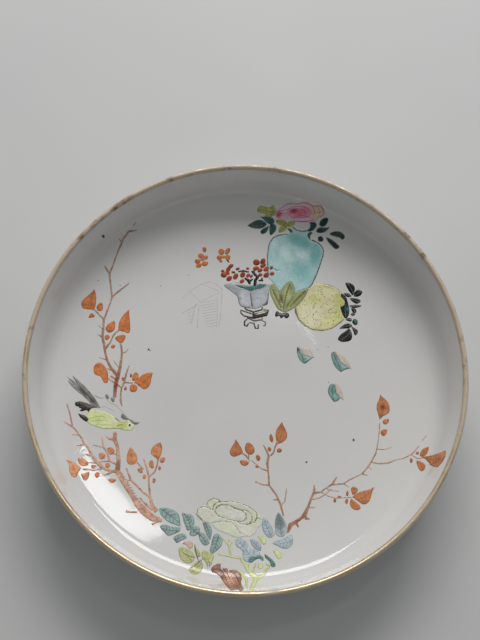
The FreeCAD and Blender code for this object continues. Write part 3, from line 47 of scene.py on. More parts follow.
RIM_RADIUS = 115.0
RIM_HEIGHT = 40.0
LIP_RADIUS = 1.2
WALL_ANGLE = radians(76.0)
WALL_THICKNESS = 3.0
CORNER_RADIUS = 9.0
SWELL_RADIUS = 328.0
SWELL_ANGLE = radians(10.0)
WELL_HEIGHT = 11.0
FOOT_RADIUS = 71.0
FOOT_HEIGHT = 7.4
REST_OUTER = 69.4
REST_INNER = 67.5
REST_BEVEL = 1.2
RECESS_RADIUS = 66.4
RECESS_HEIGHT = 6.2
RECESS_FILLET = 2.5
GLAZE = 0.3
GLAZE_LINE = 1.8
FLUSH_TOP = 3.6
FLUSH_FOOT = 2.2
GILT = 0.12
GILT_WIDTH = 0.8

SWELL_Z = WELL_HEIGHT + SWELL_RADIUS
CORNER_Z = SWELL_Z - (SWELL_RADIUS - CORNER_RADIUS) * cos(SWELL_ANGLE)
LIP_Z = RIM_HEIGHT - LIP_RADIUS
LIP_R = RIM_RADIUS - LIP_RADIUS
RISE = LIP_Z - CORNER_Z + (CORNER_RADIUS + LIP_RADIUS) * cos(WALL_ANGLE)
WALL = RISE / sin(WALL_ANGLE)
CORNER_R = LIP_R - WALL * cos(WALL_ANGLE) - (CORNER_RADIUS + LIP_RADIUS) * sin(WALL_ANGLE)
WELL_R = CORNER_R - (SWELL_RADIUS - CORNER_RADIUS) * sin(SWELL_ANGLE)
SWELL_END = WELL_R + SWELL_RADIUS * sin(SWELL_ANGLE)
CORNER_END = CORNER_R + CORNER_RADIUS * sin(WALL_ANGLE)

# Tones are sRGB numbers as each colour reads beside glaze of the tone GLAZE_TONE.
GLAZE_TONE = (178, 177, 175)
GLAZE_ALBEDO = (0.77, 0.765, 0.755)
GLOSS_SHARE = 0.025

IRON_RED = (162, 110, 78)
IRON_EDGE = (150, 82, 42)
TWIG = (144, 116, 98)
OLIVE_LINE = (74, 76, 44)
CRIMSON = (150, 52, 76)
PETAL_BROWN = (140, 92, 72)
SPECK = (66, 66, 58)
SPECK_HALO = (150, 147, 140)

# Heights above the glaze, then a stroke's least and usual width, its flat share and its unevenness.
FILM_EDGE = 0.012
FILM_ROOT = -0.04
SUNK = -0.02
OVER_FILM = 0.035
DOT_STEP = 0.02
THINNEST = 0.1
LINE_WIDTH = 0.3
CROWN = 0.55
STROKE_UNEVEN = 0.24

# Corners that turn by more than SHARP_TIP degrees stay sharp. Outlines longer than LONG_OUTLINE are
# rounded more, and those under CRUMB_OUTLINE are left out.
SHARP_TIP = 42
LONG_OUTLINE = 14
CRUMB_OUTLINE = 1.2

# The enamel materials, as each piece's slots list them.
ENAMEL, WASH, LINE = range(3)


def linear(tone):
    share = tone / 255
    return share / 12.92 if share <= 0.04045 else ((share + 0.055) / 1.055) ** 2.4


def albedo(tone):
    """The share of light a colour reflects, from its tone beside the glaze, less its gloss."""
    return tuple(
        min(0.9, base * max(linear(value) - GLOSS_SHARE, 0.004) / (linear(white) - GLOSS_SHARE))
        for value, white, base in zip(tone, GLAZE_TONE, GLAZE_ALBEDO)
    )


def upper_side(radius):
    """Height and slope of the glazed upper side at a radius."""
    if radius <= WELL_R:
        return WELL_HEIGHT, 0.0
    if radius <= SWELL_END:
        slope = asin((radius - WELL_R) / SWELL_RADIUS)
        return SWELL_Z - SWELL_RADIUS * cos(slope), slope
    if radius <= CORNER_END:
        slope = asin((radius - CORNER_R) / CORNER_RADIUS)
        return CORNER_Z - CORNER_RADIUS * cos(slope), slope
    foot = CORNER_Z - CORNER_RADIUS * cos(WALL_ANGLE)
    return foot + (radius - CORNER_END) * tan(WALL_ANGLE), WALL_ANGLE


def drape(x, y, lift):
    """A painted point in metres, lifted off the glaze along the dish's own slope."""
    radius = hypot(x, y)
    height, slope = upper_side(radius)
    lean = sin(slope) / max(radius, 1e-6)
    return (
        (x - x * lean * lift) * MM,
        (y - y * lean * lift) * MM,
        (height + cos(slope) * lift) * MM,
    )


# ---------------- materials


def new_material(name):
    material = bpy.data.materials.new(name)
    material.use_nodes = True
    tree = material.node_tree
    return material, tree, tree.nodes["Principled BSDF"]


def link(tree, source, output, target, socket):
    tree.links.new(source.outputs[output], target.inputs[socket])


def object_axis(tree, axis, start, end, low, high):
    """A value that runs from low to high between two places along one of the dish's axes."""
    place = tree.nodes.new("ShaderNodeTexCoord")
    axes = tree.nodes.new("ShaderNodeSeparateXYZ")
    span = tree.nodes.new("ShaderNodeMapRange")
    for socket, value in (("From Min", start), ("From Max", end), ("To Min", low), ("To Max", high)):
        span.inputs[socket].default_value = value
    link(tree, place, "Object", axes, "Vector")
    link(tree, axes, axis, span, "Value")
    return span


def combine(tree, operation, first, second):
    """The sum or product of two nodes' first outputs."""
    node = tree.nodes.new("ShaderNodeMath")
    node.operation = operation
    link(tree, first, 0, node, 0)
    link(tree, second, 0, node, 1)
    return node


def object_noise(tree, scale, detail, roughness=0.5):
    """Noise fixed to the dish, its scale in lumps per metre."""
    place = tree.nodes.new("ShaderNodeTexCoord")
    texture = tree.nodes.new("ShaderNodeTexNoise")
    texture.inputs["Scale"].default_value = scale
    texture.inputs["Detail"].default_value = detail
    texture.inputs["Roughness"].default_value = roughness
    link(tree, place, "Object", texture, "Vector")
    return texture


def ramp(tree, source, stops):
    """A ramp of stops, each a position and a colour or grey, driven by a node's first output."""
    node = tree.nodes.new("ShaderNodeValToRGB")
    elements = node.color_ramp.elements
    while len(elements) < len(stops):
        elements.new(0.5)
    for element, (position, colour) in zip(elements, stops):
        element.position = position
        element.color = (*colour, 1.0) if isinstance(colour, tuple) else (colour, colour, colour, 1.0)
    link(tree, source, 0, node, "Fac")
    return node


def mix_colour(tree, kind, factor, first, second):
    """A colour mix. first and second are (node, output) or a colour, factor a (node, output) or number."""
    node = tree.nodes.new("ShaderNodeMix")
    node.data_type = "RGBA"
    node.blend_type = kind
    sockets = (node.inputs[0], node.inputs[6], node.inputs[7])
    for socket, value in zip(sockets, (factor, first, second)):
        if isinstance(value, tuple) and isinstance(value[0], bpy.types.Node):
            tree.links.new(value[0].outputs[value[1]], socket)
        elif isinstance(value, tuple):
            socket.default_value = (*value, 1.0)
        else:
            socket.default_value = value
    return node


def bump(tree, shader, texture, distance, strength, under=None):
    node = tree.nodes.new("ShaderNodeBump")
    node.inputs["Distance"].default_value = distance
    node.inputs["Strength"].default_value = strength
    link(tree, texture, 0, node, "Height")
    if under:
        link(tree, under, "Normal", node, "Normal")
    link(tree, node, "Normal", shader, "Normal")
    return node


def make_glaze(name, tone):
    """Clear, faintly grey glaze with soft orange peel, burnt orange where it ends on the foot ring."""
    material, tree, shader = new_material(name)
    clouds = object_noise(tree, 16, 3)
    cloudy = ramp(tree, clouds, [
        (0.3, tuple(c * 0.955 for c in tone)),
        (0.55, tone),
        (0.75, (tone[0] * 1.02, tone[1] * 1.015, tone[2])),
    ])
    grit = object_noise(tree, 900, 2)
    gritty = ramp(tree, grit, [(0.25, 0.9), (0.34, 1.0)])
    colour = mix_colour(tree, "MULTIPLY", 0.5, (cloudy, "Color"), (gritty, "Color"))
    band = object_axis(tree, "Z", FLUSH_TOP * MM, FLUSH_FOOT * MM, 0, 1)
    strength = combine(tree, "MULTIPLY", band, object_noise(tree, 120, 3))
    colour = mix_colour(tree, "MIX", (strength, "Value"), (colour, 2), (0.5, 0.28, 0.13))
    link(tree, colour, 2, shader, "Base Color")
    roughness = ramp(tree, clouds, [(0.3, 0.035), (0.7, 0.075)])
    link(tree, roughness, "Color", shader, "Roughness")
    shader.inputs["IOR"].default_value = 1.52
    swell = object_noise(tree, 34, 1)
    first = bump(tree, shader, swell, 0.0006, 0.35)
    peel = object_noise(tree, 420, 2)
    bump(tree, shader, peel, 0.00003, 0.3, first)
    return material


def make_paste():
    """Bare porcelain paste: chalky, fine grained and flushed orange here and there by the kiln."""
    material, tree, shader = new_material("bare_paste")
    flush = object_noise(tree, 60, 4)
    tone = ramp(tree, flush, [
        (0.35, (0.66, 0.60, 0.52)),
        (0.55, (0.58, 0.48, 0.37)),
        (0.72, (0.42, 0.26, 0.15)),
    ])
    grain = object_noise(tree, 2600, 3, 0.7)
    speck = ramp(tree, grain, [(0.3, 0.72), (0.5, 1.0)])
    colour = mix_colour(tree, "MULTIPLY", 0.8, (tone, "Color"), (speck, "Color"))
    link(tree, colour, 2, shader, "Base Color")
    shader.inputs["Roughness"].default_value = 0.82
    bump(tree, shader, grain, 0.00012, 0.6)
    return material


def make_enamel(name, smoothest, roughest, mottle, relief):
    """Fired enamel in the piece's own tints, uneven in depth and gloss as brushed glass paste is."""
    material, tree, shader = new_material(name)
    tint = tree.nodes.new("ShaderNodeAttribute")
    tint.attribute_name = "tint"
    depth = object_noise(tree, 700, 4, 0.6)
    uneven = ramp(tree, depth, [(0.3, 1 - mottle), (0.62, 1 + mottle * 0.4)])
    pooled = object_noise(tree, 2600, 2)
    fine = ramp(tree, pooled, [(0.3, 1 - mottle * 0.6), (0.6, 1.0)])
    first = mix_colour(tree, "MULTIPLY", 1.0, (tint, "Color"), (uneven, "Color"))
    second = mix_colour(tree, "MULTIPLY", 1.0, (first, 2), (fine, "Color"))
    link(tree, second, 2, shader, "Base Color")
    roughness = ramp(tree, depth, [(0.3, smoothest), (0.7, roughest)])
    link(tree, roughness, "Color", shader, "Roughness")
    shader.inputs["IOR"].default_value = 1.5
    bump(tree, shader, depth, 0.00006, relief)
    return material


def make_gilding():
    """Thin gold over the lip, rubbed pale and brown in places, with painted light that leaves it browner
    towards the top and brightest and most metallic at the bottom edge.
    """
    material, tree, shader = new_material("worn_gilding")
    wear = object_noise(tree, 90, 5, 0.6)
    rub = object_noise(tree, 1500, 3, 0.6)
    # Painted light: the gold is made brighter and more metallic towards the bottom of the dish and browner
    # towards the top, added to the random wear.
    painted_light_low_side = object_axis(tree, "Y", 0.05, -0.1, -0.06, 0.13)
    wear_and_painted_light = combine(tree, "ADD", wear, painted_light_low_side)
    tone = ramp(tree, wear_and_painted_light, [
        (0.28, (0.20, 0.12, 0.07)),
        (0.34, (0.46, 0.33, 0.23)),
        (0.40, (0.66, 0.55, 0.44)),
        (0.6, (0.74, 0.60, 0.42)),
    ])
    scuffed = ramp(tree, rub, [(0.3, 0.78), (0.55, 1.0)])
    colour = mix_colour(tree, "MULTIPLY", 1.0, (tone, "Color"), (scuffed, "Color"))
    link(tree, colour, 2, shader, "Base Color")
    metal = ramp(tree, wear_and_painted_light, [(0.46, 0.0), (0.64, 0.8)])
    link(tree, metal, "Color", shader, "Metallic")
    roughness = ramp(tree, rub, [(0.3, 0.42), (0.7, 0.24)])
    link(tree, roughness, "Color", shader, "Roughness")
    bump(tree, shader, rub, 0.00003, 0.5)
    return material


def make_floor_material():
    material, tree, shader = new_material("pale_floor")
    soft = object_noise(tree, 7, 2)
    tone = ramp(tree, soft, [(0.3, (0.66, 0.67, 0.67)), (0.7, (0.70, 0.705, 0.70))])
    link(tree, tone, "Color", shader, "Base Color")
    shader.inputs["Roughness"].default_value = 0.75
    return material


# ---------------- the turned dish


def arc(centre, radius, start, end, steps):
    """Points on an arc, the angle measured up from straight down."""
    points = []
    for step in range(steps + 1):
        angle = start + (end - start) * step / steps
        points.append((centre[0] + radius * sin(angle), centre[1] - radius * cos(angle)))
    return points


def upper_profile(offset, steps):
    """The upper side from the axis to the start of the lip, at a distance above the glaze."""
    well = [(WELL_R * step / 6, WELL_HEIGHT + offset) for step in range(6)]
    swell = arc((WELL_R, SWELL_Z), SWELL_RADIUS - offset, 0, SWELL_ANGLE, steps)
    corner = arc((CORNER_R, CORNER_Z), CORNER_RADIUS - offset, SWELL_ANGLE, WALL_ANGLE, steps)
    return well + swell + corner[1:]


def wall_point(offset, below_lip):
    foot_r = CORNER_R + (CORNER_RADIUS - offset) * sin(WALL_ANGLE)
    foot_z = CORNER_Z - (CORNER_RADIUS - offset) * cos(WALL_ANGLE)
    along = WALL - below_lip
    return (foot_r + along * cos(WALL_ANGLE), foot_z + along * sin(WALL_ANGLE))


def lip_profile(offset, steps):
    """Over the rounded lip, from the inner wall to the outer one."""
    return arc((LIP_R, LIP_Z), LIP_RADIUS + offset, WALL_ANGLE + pi, WALL_ANGLE, steps)


def outer_profile(offset, steps):
    radius = CORNER_RADIUS + WALL_THICKNESS + offset
    corner = arc((CORNER_R, CORNER_Z), radius, WALL_ANGLE, SWELL_ANGLE, steps)
    return corner + [(FOOT_RADIUS + offset, FOOT_HEIGHT - offset)]


def recess_profile(offset, foot):
    centre = (RECESS_RADIUS - RECESS_FILLET, RECESS_HEIGHT - RECESS_FILLET)
    fillet = arc(centre, RECESS_FILLET - offset, pi, pi / 2, 10)
    return [(0.0, RECESS_HEIGHT - offset)] + fillet + [(RECESS_RADIUS - offset, foot)]


def new_object(name, mesh, materials):
    for material in materials:
        mesh.materials.append(material)
    mesh.shade_smooth()
    piece = bpy.data.objects.new(name, mesh)
    SCENE.collection.objects.link(piece)
    return piece


def lathe(name, profile, segments, material, closed=False, ruffle=0.0):
    """A surface turned about the dish's axis, its radius roughened by up to the ruffle.

    A place on the axis becomes a single point, and closed joins the profile's last place to its first.
    """
    points = []
    rings = []
    for radius, height in profile:
        if radius < 1e-6:
            rings.append([len(points)])
            points.append((0.0, 0.0, height * MM))
            continue
        ring = []
        for step in range(segments):
            angle = 2 * pi * step / segments
            place = Vector((cos(angle) * 3, sin(angle) * 3, height * 0.1))
            rough = radius - ruffle * abs(noise.noise(place * 5))
            ring.append(len(points))
            points.append((rough * cos(angle) * MM, rough * sin(angle) * MM, height * MM))
        rings.append(ring)
    faces = []
    pairs = list(zip(rings, rings[1:]))
    if closed:
        pairs.append((rings[-1], rings[0]))
    for first, second in pairs:
        for step in range(segments):
            after = (step + 1) % segments
            if len(first) == 1:
                faces.append((first[0], second[step], second[after]))
            elif len(second) == 1:
                faces.append((first[step], second[0], first[after]))
            else:
                faces.append((first[step], second[step], second[after], first[after]))
    mesh = bpy.data.meshes.new(name)
    mesh.from_pydata(points, [], faces)
    mesh.validate()
    return new_object(name, mesh, [material])


def finish_piece(piece, node):
    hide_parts(node)
    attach(piece, "root")


# ---------------- the painting


def smooth_path(points, step):
    """A Catmull-Rom curve through points of any length, walked at about one step."""
    places = [np.array(point, float) for point in points]
    ends = [2 * places[0] - places[1]] + places + [2 * places[-1] - places[-2]]
    walked = []
    for a, b, c, d in zip(ends, ends[1:], ends[2:], ends[3:]):
        count = max(1, ceil(np.linalg.norm(c[:2] - b[:2]) / step))
        for index in range(count):
            t = index / count
            walked.append(0.5 * (2 * b + (c - a) * t + (2 * a - 5 * b + 4 * c - d) * t * t
                                 + (3 * b - a - 3 * c + d) * t ** 3))
    walked.append(places[-1])
    return walked


def unevenness(x, y, scale, layer):
    """Smooth noise over the painting, about -1 to 1, different in each layer."""
    return noise.noise(Vector((x * scale, y * scale, layer)))


def node_outlines(node):
    """The closed outlines of a CAD enamel seen from above: its top faces' open edges, chained."""
    mesh = NODES[node].data
    names = [tuple(np.round(np.array(v.co[:2]) * 1e6).astype(int)) for v in mesh.vertices]
    net = {}
    for face in mesh.polygons:
        if face.normal.z < 0.2:
            continue
        corners = [names[index] for index in face.vertices]
        for a, b in zip(corners, corners[1:] + corners[:1]):
            net[(a, b)] = net.get((a, b), 0) + 1
            net[(b, a)] = net.get((b, a), 0) - 1
    following = {}
    for (a, b), count in net.items():
        if count > 0 and a != b:
            following.setdefault(a, []).extend([b] * count)
    loops = []
    while following:
        start = next(iter(following))
        loop = [start]
        while True:
            choices = following[loop[-1]]
            after = choices.pop()
            if not choices:
                del following[loop[-1]]
            if after == start or after not in following:
                break
            loop.append(after)
        if len(loop) > 4:
            loops.append(np.array(loop, float) / 1000)
    return loops


def brushed(loop, step, passes, keep_angle, grow):
    """An outline at an even step, rounded as a brush would but for its sharp tips, and grown a little."""
    ahead = np.roll(loop, -1, 0) - loop
    behind = loop - np.roll(loop, 1, 0)
    cross = behind[:, 0] * ahead[:, 1] - behind[:, 1] * ahead[:, 0]
    turn = np.abs(np.arctan2(cross, (behind * ahead).sum(1)))
    tips = [i for i in range(len(loop)) if turn[i] > keep_angle]
    marks = tips or [0]
    places = []
    fixed = []
    for start, end in zip(marks, marks[1:] + [marks[0] + len(loop)]):
        run = loop[[i % len(loop) for i in range(start, end + 1)]]
        lengths = np.r_[0, np.cumsum(np.hypot(*np.diff(run, axis=0).T))]
        count = max(1, round(lengths[-1] / step))
        at = np.linspace(0, lengths[-1], count + 1)[:-1]
        places += list(np.c_[np.interp(at, lengths, run[:, 0]), np.interp(at, lengths, run[:, 1])])
        fixed += [bool(tips)] + [False] * (count - 1)
    places = np.array(places)
    free = ~np.array(fixed)[:, None]
    for turn_number in range(2 * passes):
        share = 0.5 if turn_number % 2 == 0 else -0.46
        pull = (np.roll(places, 1, 0) + np.roll(places, -1, 0)) / 2 - places
        places = places + free * share * pull
    along = np.roll(places, -1, 0) - np.roll(places, 1, 0)
    outward = np.c_[along[:, 1], -along[:, 0]] / np.maximum(np.hypot(*along.T), 1e-6)[:, None]
    wobble = np.array([unevenness(x, y, 1.1, 9) for x, y in places])
    return places + outward * (grow + 0.12 * wobble)[:, None]


def within(places, loops):
    """Which places the loops go round anticlockwise, less the clockwise loops of holes."""
    turns = np.zeros(len(places), int)
    x = places[:, :1]
    y = places[:, 1:]
    for loop in loops:
        x1, y1 = loop.T
        x2, y2 = np.roll(loop, -1, 0).T
        rise = np.where(y2 == y1, 1e-12, y2 - y1)
        way = np.where(y2 > y1, 1, -1)
        for start in range(0, len(places), 4000):
            part = slice(start, start + 4000)
            crosses = ((y1 > y[part]) != (y2 > y[part]))
            crosses &= x[part] < (x2 - x1) * (y[part] - y1) / rise + x1
            turns[part] += (crosses * way).sum(1)
    return turns > 0


def distance_to(points):
    """A function that gives how far a place is from the nearest of the points."""
    near = kdtree.KDTree(len(points))
    for index, point in enumerate(points):
        near.insert((*point, 0), index)
    near.balance()
    return lambda place: near.find((*place, 0))[2]


class Painting:
    """Painted work given in plate millimetres and draped on the dish, with a tint at each point."""

    def __init__(self, name):
        self.name = name
        self.points = []
        self.faces = []
        self.tints = []
        self.slots = []

    def add(self, places, faces, tints, slot):
        base = len(self.points)
        self.points += [drape(*place) for place in places]
        self.faces += [tuple(base + index for index in face) for face in faces]
        self.tints += tints
        self.slots += [slot] * len(faces)

    def fill(self, loops, spacing, lift, bevel, tint, slot):
        """A pillowed film inside the loops: a top, a bottom just under the glaze, and a low edge."""
        rim = []
        edges = []
        for loop in loops:
            base = len(rim)
            rim += [tuple(point) for point in loop]
            edges += [(base + i, base + (i + 1) % len(loop)) for i in range(len(loop))]
        rim_points = np.array(rim)
        low = rim_points.min(0)
        high = rim_points.max(0)
        rows = np.arange(low[1], high[1], spacing * 0.866)
        grid = [
            (x + (row % 2) * spacing / 2, y)
            for row, y in enumerate(rows)
            for x in np.arange(low[0], high[0], spacing)
        ]
        edge_distance = distance_to(rim)
        inner = []
        if grid:
            grid = np.array(grid)
            for point in grid[within(grid, loops)]:
                if edge_distance(point) > 0.5 * spacing:
                    inner.append(tuple(point))
        flat = [Vector(point) for point in rim + inner]
        found = geometry.delaunay_2d_cdt(flat, edges, [], 0, 1e-6)
        places = np.array([tuple(point) for point in found[0]])
        triangles = np.array([face for face in found[2] if len(face) == 3])
        keep = within(places[triangles].mean(1), loops)
        triangles = triangles[keep]
        depths = [edge_distance(place) for place in places]
        count = len(places)
        top = []
        bottom = []
        tints = []
        for (x, y), depth in zip(places, depths):
            rise = sin(pi / 2 * min(depth / bevel, 1.0))
            top.append((x, y, FILM_EDGE + (lift - FILM_EDGE) * rise))
            bottom.append((x, y, FILM_ROOT))
            tints.append(tint(x, y, depth))
        faces = [tuple(face) for face in triangles]
        open_edges = dict.fromkeys(edge for a, b, c in faces for edge in ((a, b), (b, c), (c, a)))
        walls = [
            (a, a + count, b + count, b)
            for a, b in open_edges if (b, a) not in open_edges
        ]
        under = [(a + count, c + count, b + count) for a, b, c in faces]
        self.add(top + bottom, faces + under + walls, tints * 2, slot)

    def stroke(self, path, tint, high):
        """A brushed line: a tapering ribbon with a low crown and closed, pointed ends."""
        walked = smooth_path(path, 0.45)
        if len(walked) < 3:
            walked = smooth_path(path, 0.15)
        count = len(walked)
        places = []
        tints = []
        for index, (x, y, width) in enumerate(walked):
            before = walked[max(index - 1, 0)]
            after = walked[min(index + 1, count - 1)]
            along = hypot(after[0] - before[0], after[1] - before[1]) or 1.0
            across = ((before[1] - after[1]) / along, (after[0] - before[0]) / along)
            breadth = unevenness(x, y, 1.3, 4)
            end = min(index, count - 1 - index)
            taper = (0.25, 0.75)[end] if end < 2 else 1.0
            half = max(width, THINNEST) / 2 * (1 + STROKE_UNEVEN * breadth) * taper
            for side, lift in ((-1, SUNK), (-CROWN, high), (CROWN, high), (1, SUNK)):
                places.append((x + across[0] * half * side, y + across[1] * half * side, lift))
                tints.append(tint(x, y, half * (1 - abs(side))))
        faces = [(0, 1, 2, 3)]
        for index in range(count - 1):
            a = 4 * index
            b = a + 4
            for corner in range(4):
                following = (corner + 1) % 4
                faces.append((a + corner, b + corner, b + following, a + following))
        last = 4 * (count - 1)
        faces.append((last + 3, last + 2, last + 1, last))
        self.add(places, faces, tints, LINE)

    def dot(self, x, y, radius, tint, high, squash=1.0, turn=0.0):
        """A touch of the brush: a low oval dome."""
        sides = 10
        places = []
        for share, lift in ((1.0, SUNK), (0.8, high * 0.8), (0.4, high)):
            for step in range(sides):
                angle = 2 * pi * step / sides
                along = radius * share * cos(angle)
                across = radius * share * squash * sin(angle)
                places.append((
                    x + along * cos(turn) - across * sin(turn),
                    y + along * sin(turn) + across * cos(turn),
                    lift,
                ))
        places.append((x, y, high))
        faces = [tuple(range(sides - 1, -1, -1))]
        for ring in (0, sides):
            for step in range(sides):
                after = (step + 1) % sides
                faces.append((ring + step, ring + after, ring + sides + after, ring + sides + step))
        for step in range(sides):
            faces.append((2 * sides + step, 2 * sides + (step + 1) % sides, 3 * sides))
        tints = [tint(px, py, 0.2) for px, py, _ in places]
        self.add(places, faces, tints, LINE)

    def build(self, materials):
        mesh = bpy.data.meshes.new(self.name)
        mesh.from_pydata(self.points, [], self.faces)
        layer = mesh.color_attributes.new("tint", "FLOAT_COLOR", "POINT")
        values = np.ones((len(self.points), 4), np.float32)
        values[:, :3] = self.tints
        layer.data.foreach_set("color", values.ravel())
        mesh.polygons.foreach_set("material_index", self.slots)
        return new_object(self.name, mesh, materials)


def plain(tone, drift=0.08):
    """A tint of one tone, paler and darker from place to place."""
    base = albedo(tone)

    def tint(x, y, depth):
        share = 1 + drift * 2 * unevenness(x, y, 0.9, 7)
        return tuple(min(0.92, c * share) for c in base)

    return tint


def washed(spec):
    """A node's tint: its tone, a second tone at the outline, and soft blots of other tones."""
    base = np.array(albedo(spec["tone"]))
    edge = np.array(albedo(spec.get("edge", spec["tone"])))
    reach = spec["edge_width"]
    drift = spec["drift"]
    blots = [
        (x, y, rx, ry, radians(turn), np.array(albedo(tone)), strength)
        for x, y, rx, ry, turn, tone, strength in spec["blots"]
    ]

    def tint(x, y, depth):
        colour = base
        for bx, by, rx, ry, turn, tone, strength in blots:
            dx = x - bx
            dy = y - by
            along = (dx * cos(turn) + dy * sin(turn)) / rx
            across = (dy * cos(turn) - dx * sin(turn)) / ry
            far = along * along + across * across
            if far < 6:
                share = strength * exp(-far * far * 0.7)
                colour = colour * (1 - share) + tone * share
        share = max(0.0, 1 - depth / reach)
        colour = colour * (1 - share * 0.8) + edge * share * 0.8
        broad = unevenness(x, y, 0.35, 2)
        tight = unevenness(x, y, 1.4, 5)
        shade = 1 + drift * (1.3 * broad + 0.9 * tight)
        return tuple(np.clip(colour * shade, 0, 0.92))

    return tint


def long_axis(loop):
    """An outline's middle, its long direction towards the narrower end, and its reach each way."""
    middle = loop.mean(0)
    _, _, axes = np.linalg.svd(loop - middle)
    axis = axes[0]
    along = (loop - middle) @ axis
    if abs(along.min()) > along.max():
        axis = -axis
        along = -along
    return middle, axis, along.min(), along.max()


def leaf_veins(painting, loop, tone, width, pairs, high):
    """A midrib and pairs of side veins fitted to a leaf's outline."""
    middle, axis, back, front = long_axis(loop)
    side = np.array((-axis[1], axis[0]))
    along = (loop - middle) @ axis
    across = (loop - middle) @ side
    length = front - back
    if length < 2:
        return
    tint = plain(tone)

    def half_width(at, sign):
        near = (np.abs(along - at) < length * 0.12) & (across * sign > 0)
        return np.abs(across[near]).mean() if near.any() else 0.0

    def centre(at):
        return (half_width(at, 1) - half_width(at, -1)) / 2 if back < at < front else 0.0

    rib = []
    for share in (0.04, 0.3, 0.6, 0.95):
        at = back + length * share
        place = middle + axis * at + side * centre(at) * 0.8
        rib.append((*place, width * (1.15 - 0.6 * share)))
    painting.stroke(rib, tint, high)
    for step in range(pairs):
        at = back + length * (0.14 + 0.66 * step / max(pairs - 1, 1))
        start = middle + axis * at + side * centre(at) * 0.8
        for sign in (1, -1):
            reach = half_width(at + length * 0.08, sign) * 0.86
            if reach < 0.4:
                continue
            tip = middle + axis * (at + reach * 0.75) + side * sign * reach
            bend = (start + tip) / 2 - axis * reach * 0.1
            path = [(*start, width * 0.8), (*bend, width * 0.7), (*tip, width * 0.35)]
            painting.stroke(path, tint, high)


def barbs(start, end, length, count, lean, width):
    """Short slanted lines along a run, as (x, y, width) paths."""
    start = np.array(start, float)
    run = np.array(end, float) - start
    along = run / np.linalg.norm(run)
    out = np.array((along[0] * cos(lean) - along[1] * sin(lean),
                    along[0] * sin(lean) + along[1] * cos(lean)))
    paths = []
    for step in range(count):
        share = (step + 0.5) / count
        foot = start + run * share
        reach = length * (1 - 0.5 * share)
        half = foot + out * reach * 0.5
        paths.append([(*foot, width), (*half, width), (*(foot + out * reach), width * 0.5)])
    return paths


# What an enamel has unless its style or its own call says otherwise, then the shared styles. Corners
# that turn by more than keep degrees stay sharp, so at 400 none do. A line is a tone and its paths of
# (x, y, width) points, the width LINE_WIDTH where it is left out.
FILM = dict(
    lift=0.08, edge_width=0.5, drift=0.1, grow=0.08, keep=SHARP_TIP, kind=ENAMEL,
    blots=(), washes=(), veins=(), barbs=(), lines=(), dots=(), speckle=(), scatter=(),
)
DARK_LEAF = dict(
    tone=(58, 78, 74), edge=(92, 118, 112), edge_width=0.55, veins=((22, 28, 28), 0.5, 4),
    drift=0.4, grow=0.22,
)
RED_LEAF = dict(
    tone=IRON_RED, edge=IRON_EDGE, edge_width=0.6, lift=0.05, drift=0.28, veins=((146, 80, 44), 0.28, 2),
    kind=WASH, grow=0.16,
)
TWIGS = dict(
    tone=TWIG, edge=(164, 138, 122), edge_width=0.35, lift=0.05, keep=400, drift=0.34, kind=WASH, grow=0.02,
)
LINES = dict(lift=0.12, keep=400, drift=0.3, kind=LINE, grow=0.07)


def paint(node, style=FILM, **changes):
    """Builds a node's enamel in a style: washes and the CAD outline's film, then all that lies on it."""
    spec = {**FILM, **style, **changes}
    seed = random.Random(node)
    painting = Painting(f"{node}_enamel")
    keep = radians(spec["keep"])
    loops = []
    for loop in node_outlines(node):
        round_trip = np.hypot(*np.diff(loop, axis=0).T).sum()
        passes = 4 if round_trip > LONG_OUTLINE else 1
        if round_trip > CRUMB_OUTLINE:
            loops.append(brushed(loop, 0.3, passes, keep, spec["grow"]))
    lift = spec["lift"]
    high = lift + OVER_FILM
    for tone, *outline in spec["washes"]:
        closed = smooth_path([*outline, outline[0]], 0.4)[:-1]
        painting.fill([np.array(closed)], 0.6, 0.05, 0.4, plain(tone), WASH)
    painting.fill(loops, 0.5, lift, 0.45, washed(spec), spec["kind"])
    if spec["veins"]:
        tone, width, pairs = spec["veins"]
        for loop in loops:
            leaf_veins(painting, loop, tone, width, pairs, high)
    for tone, start, end, length, count, width, *leans in spec["barbs"]:
        for lean in leans:
            for path in barbs(start, end, length, count, lean, width):
                painting.stroke(path, plain(tone), high)
    for tone, *paths in spec["lines"]:
        for path in paths:
            painting.stroke([(*point, LINE_WIDTH)[:3] for point in path], plain(tone), high)
    for rank, (x, y, radius, tone) in enumerate(spec["dots"]):
        painting.dot(x, y, radius, plain(tone), high + DOT_STEP * rank)
    if spec["speckle"]:
        count, tone = spec["speckle"]
        sprinkle(painting, loops, seed, count, plain(tone), (0.2, 0.36), high, 0.6)
    if spec["scatter"]:
        count, tone, size = spec["scatter"]
        sprinkle(painting, loops, seed, count, plain(tone), (size * 0.6, size), high, 0.0)
    finish_piece(painting.build(enamel_materials), node)


def sprinkle(painting, loops, seed, count, tint, sizes, high, lean):
    """Dots scattered inside the outlines, denser to the right by the share lean."""
    everything = np.vstack(loops)
    low = everything.min(0)
    span = everything.max(0) - low
    edge_distance = distance_to(everything)
    placed = 0
    for _ in range(count * 40):
        if placed == count:
            break
        across = seed.random()
        if seed.random() < lean * (1 - across):
            continue
        place = low + span * (across, seed.random())
        radius = seed.uniform(*sizes)
        if not within(place[None, :], loops)[0] or edge_distance(place) < radius * 1.2:
            continue
        painting.dot(*place, radius, tint, high, seed.uniform(0.6, 1), seed.uniform(0, 3))
        placed += 1


# ---------------- assembly

glaze_material = make_glaze("clear_glaze", GLAZE_ALBEDO)
base_material = make_glaze("base_glaze", (0.72, 0.725, 0.70))
paste_material = make_paste()
gilt_material = make_gilding()
enamel_materials = [
    make_enamel("thick_enamel", 0.12, 0.24, 0.10, 0.5),
    make_enamel("iron_red_wash", 0.2, 0.36, 0.16, 0.3),
    make_enamel("brush_line", 0.16, 0.3, 0.10, 0.3),
]

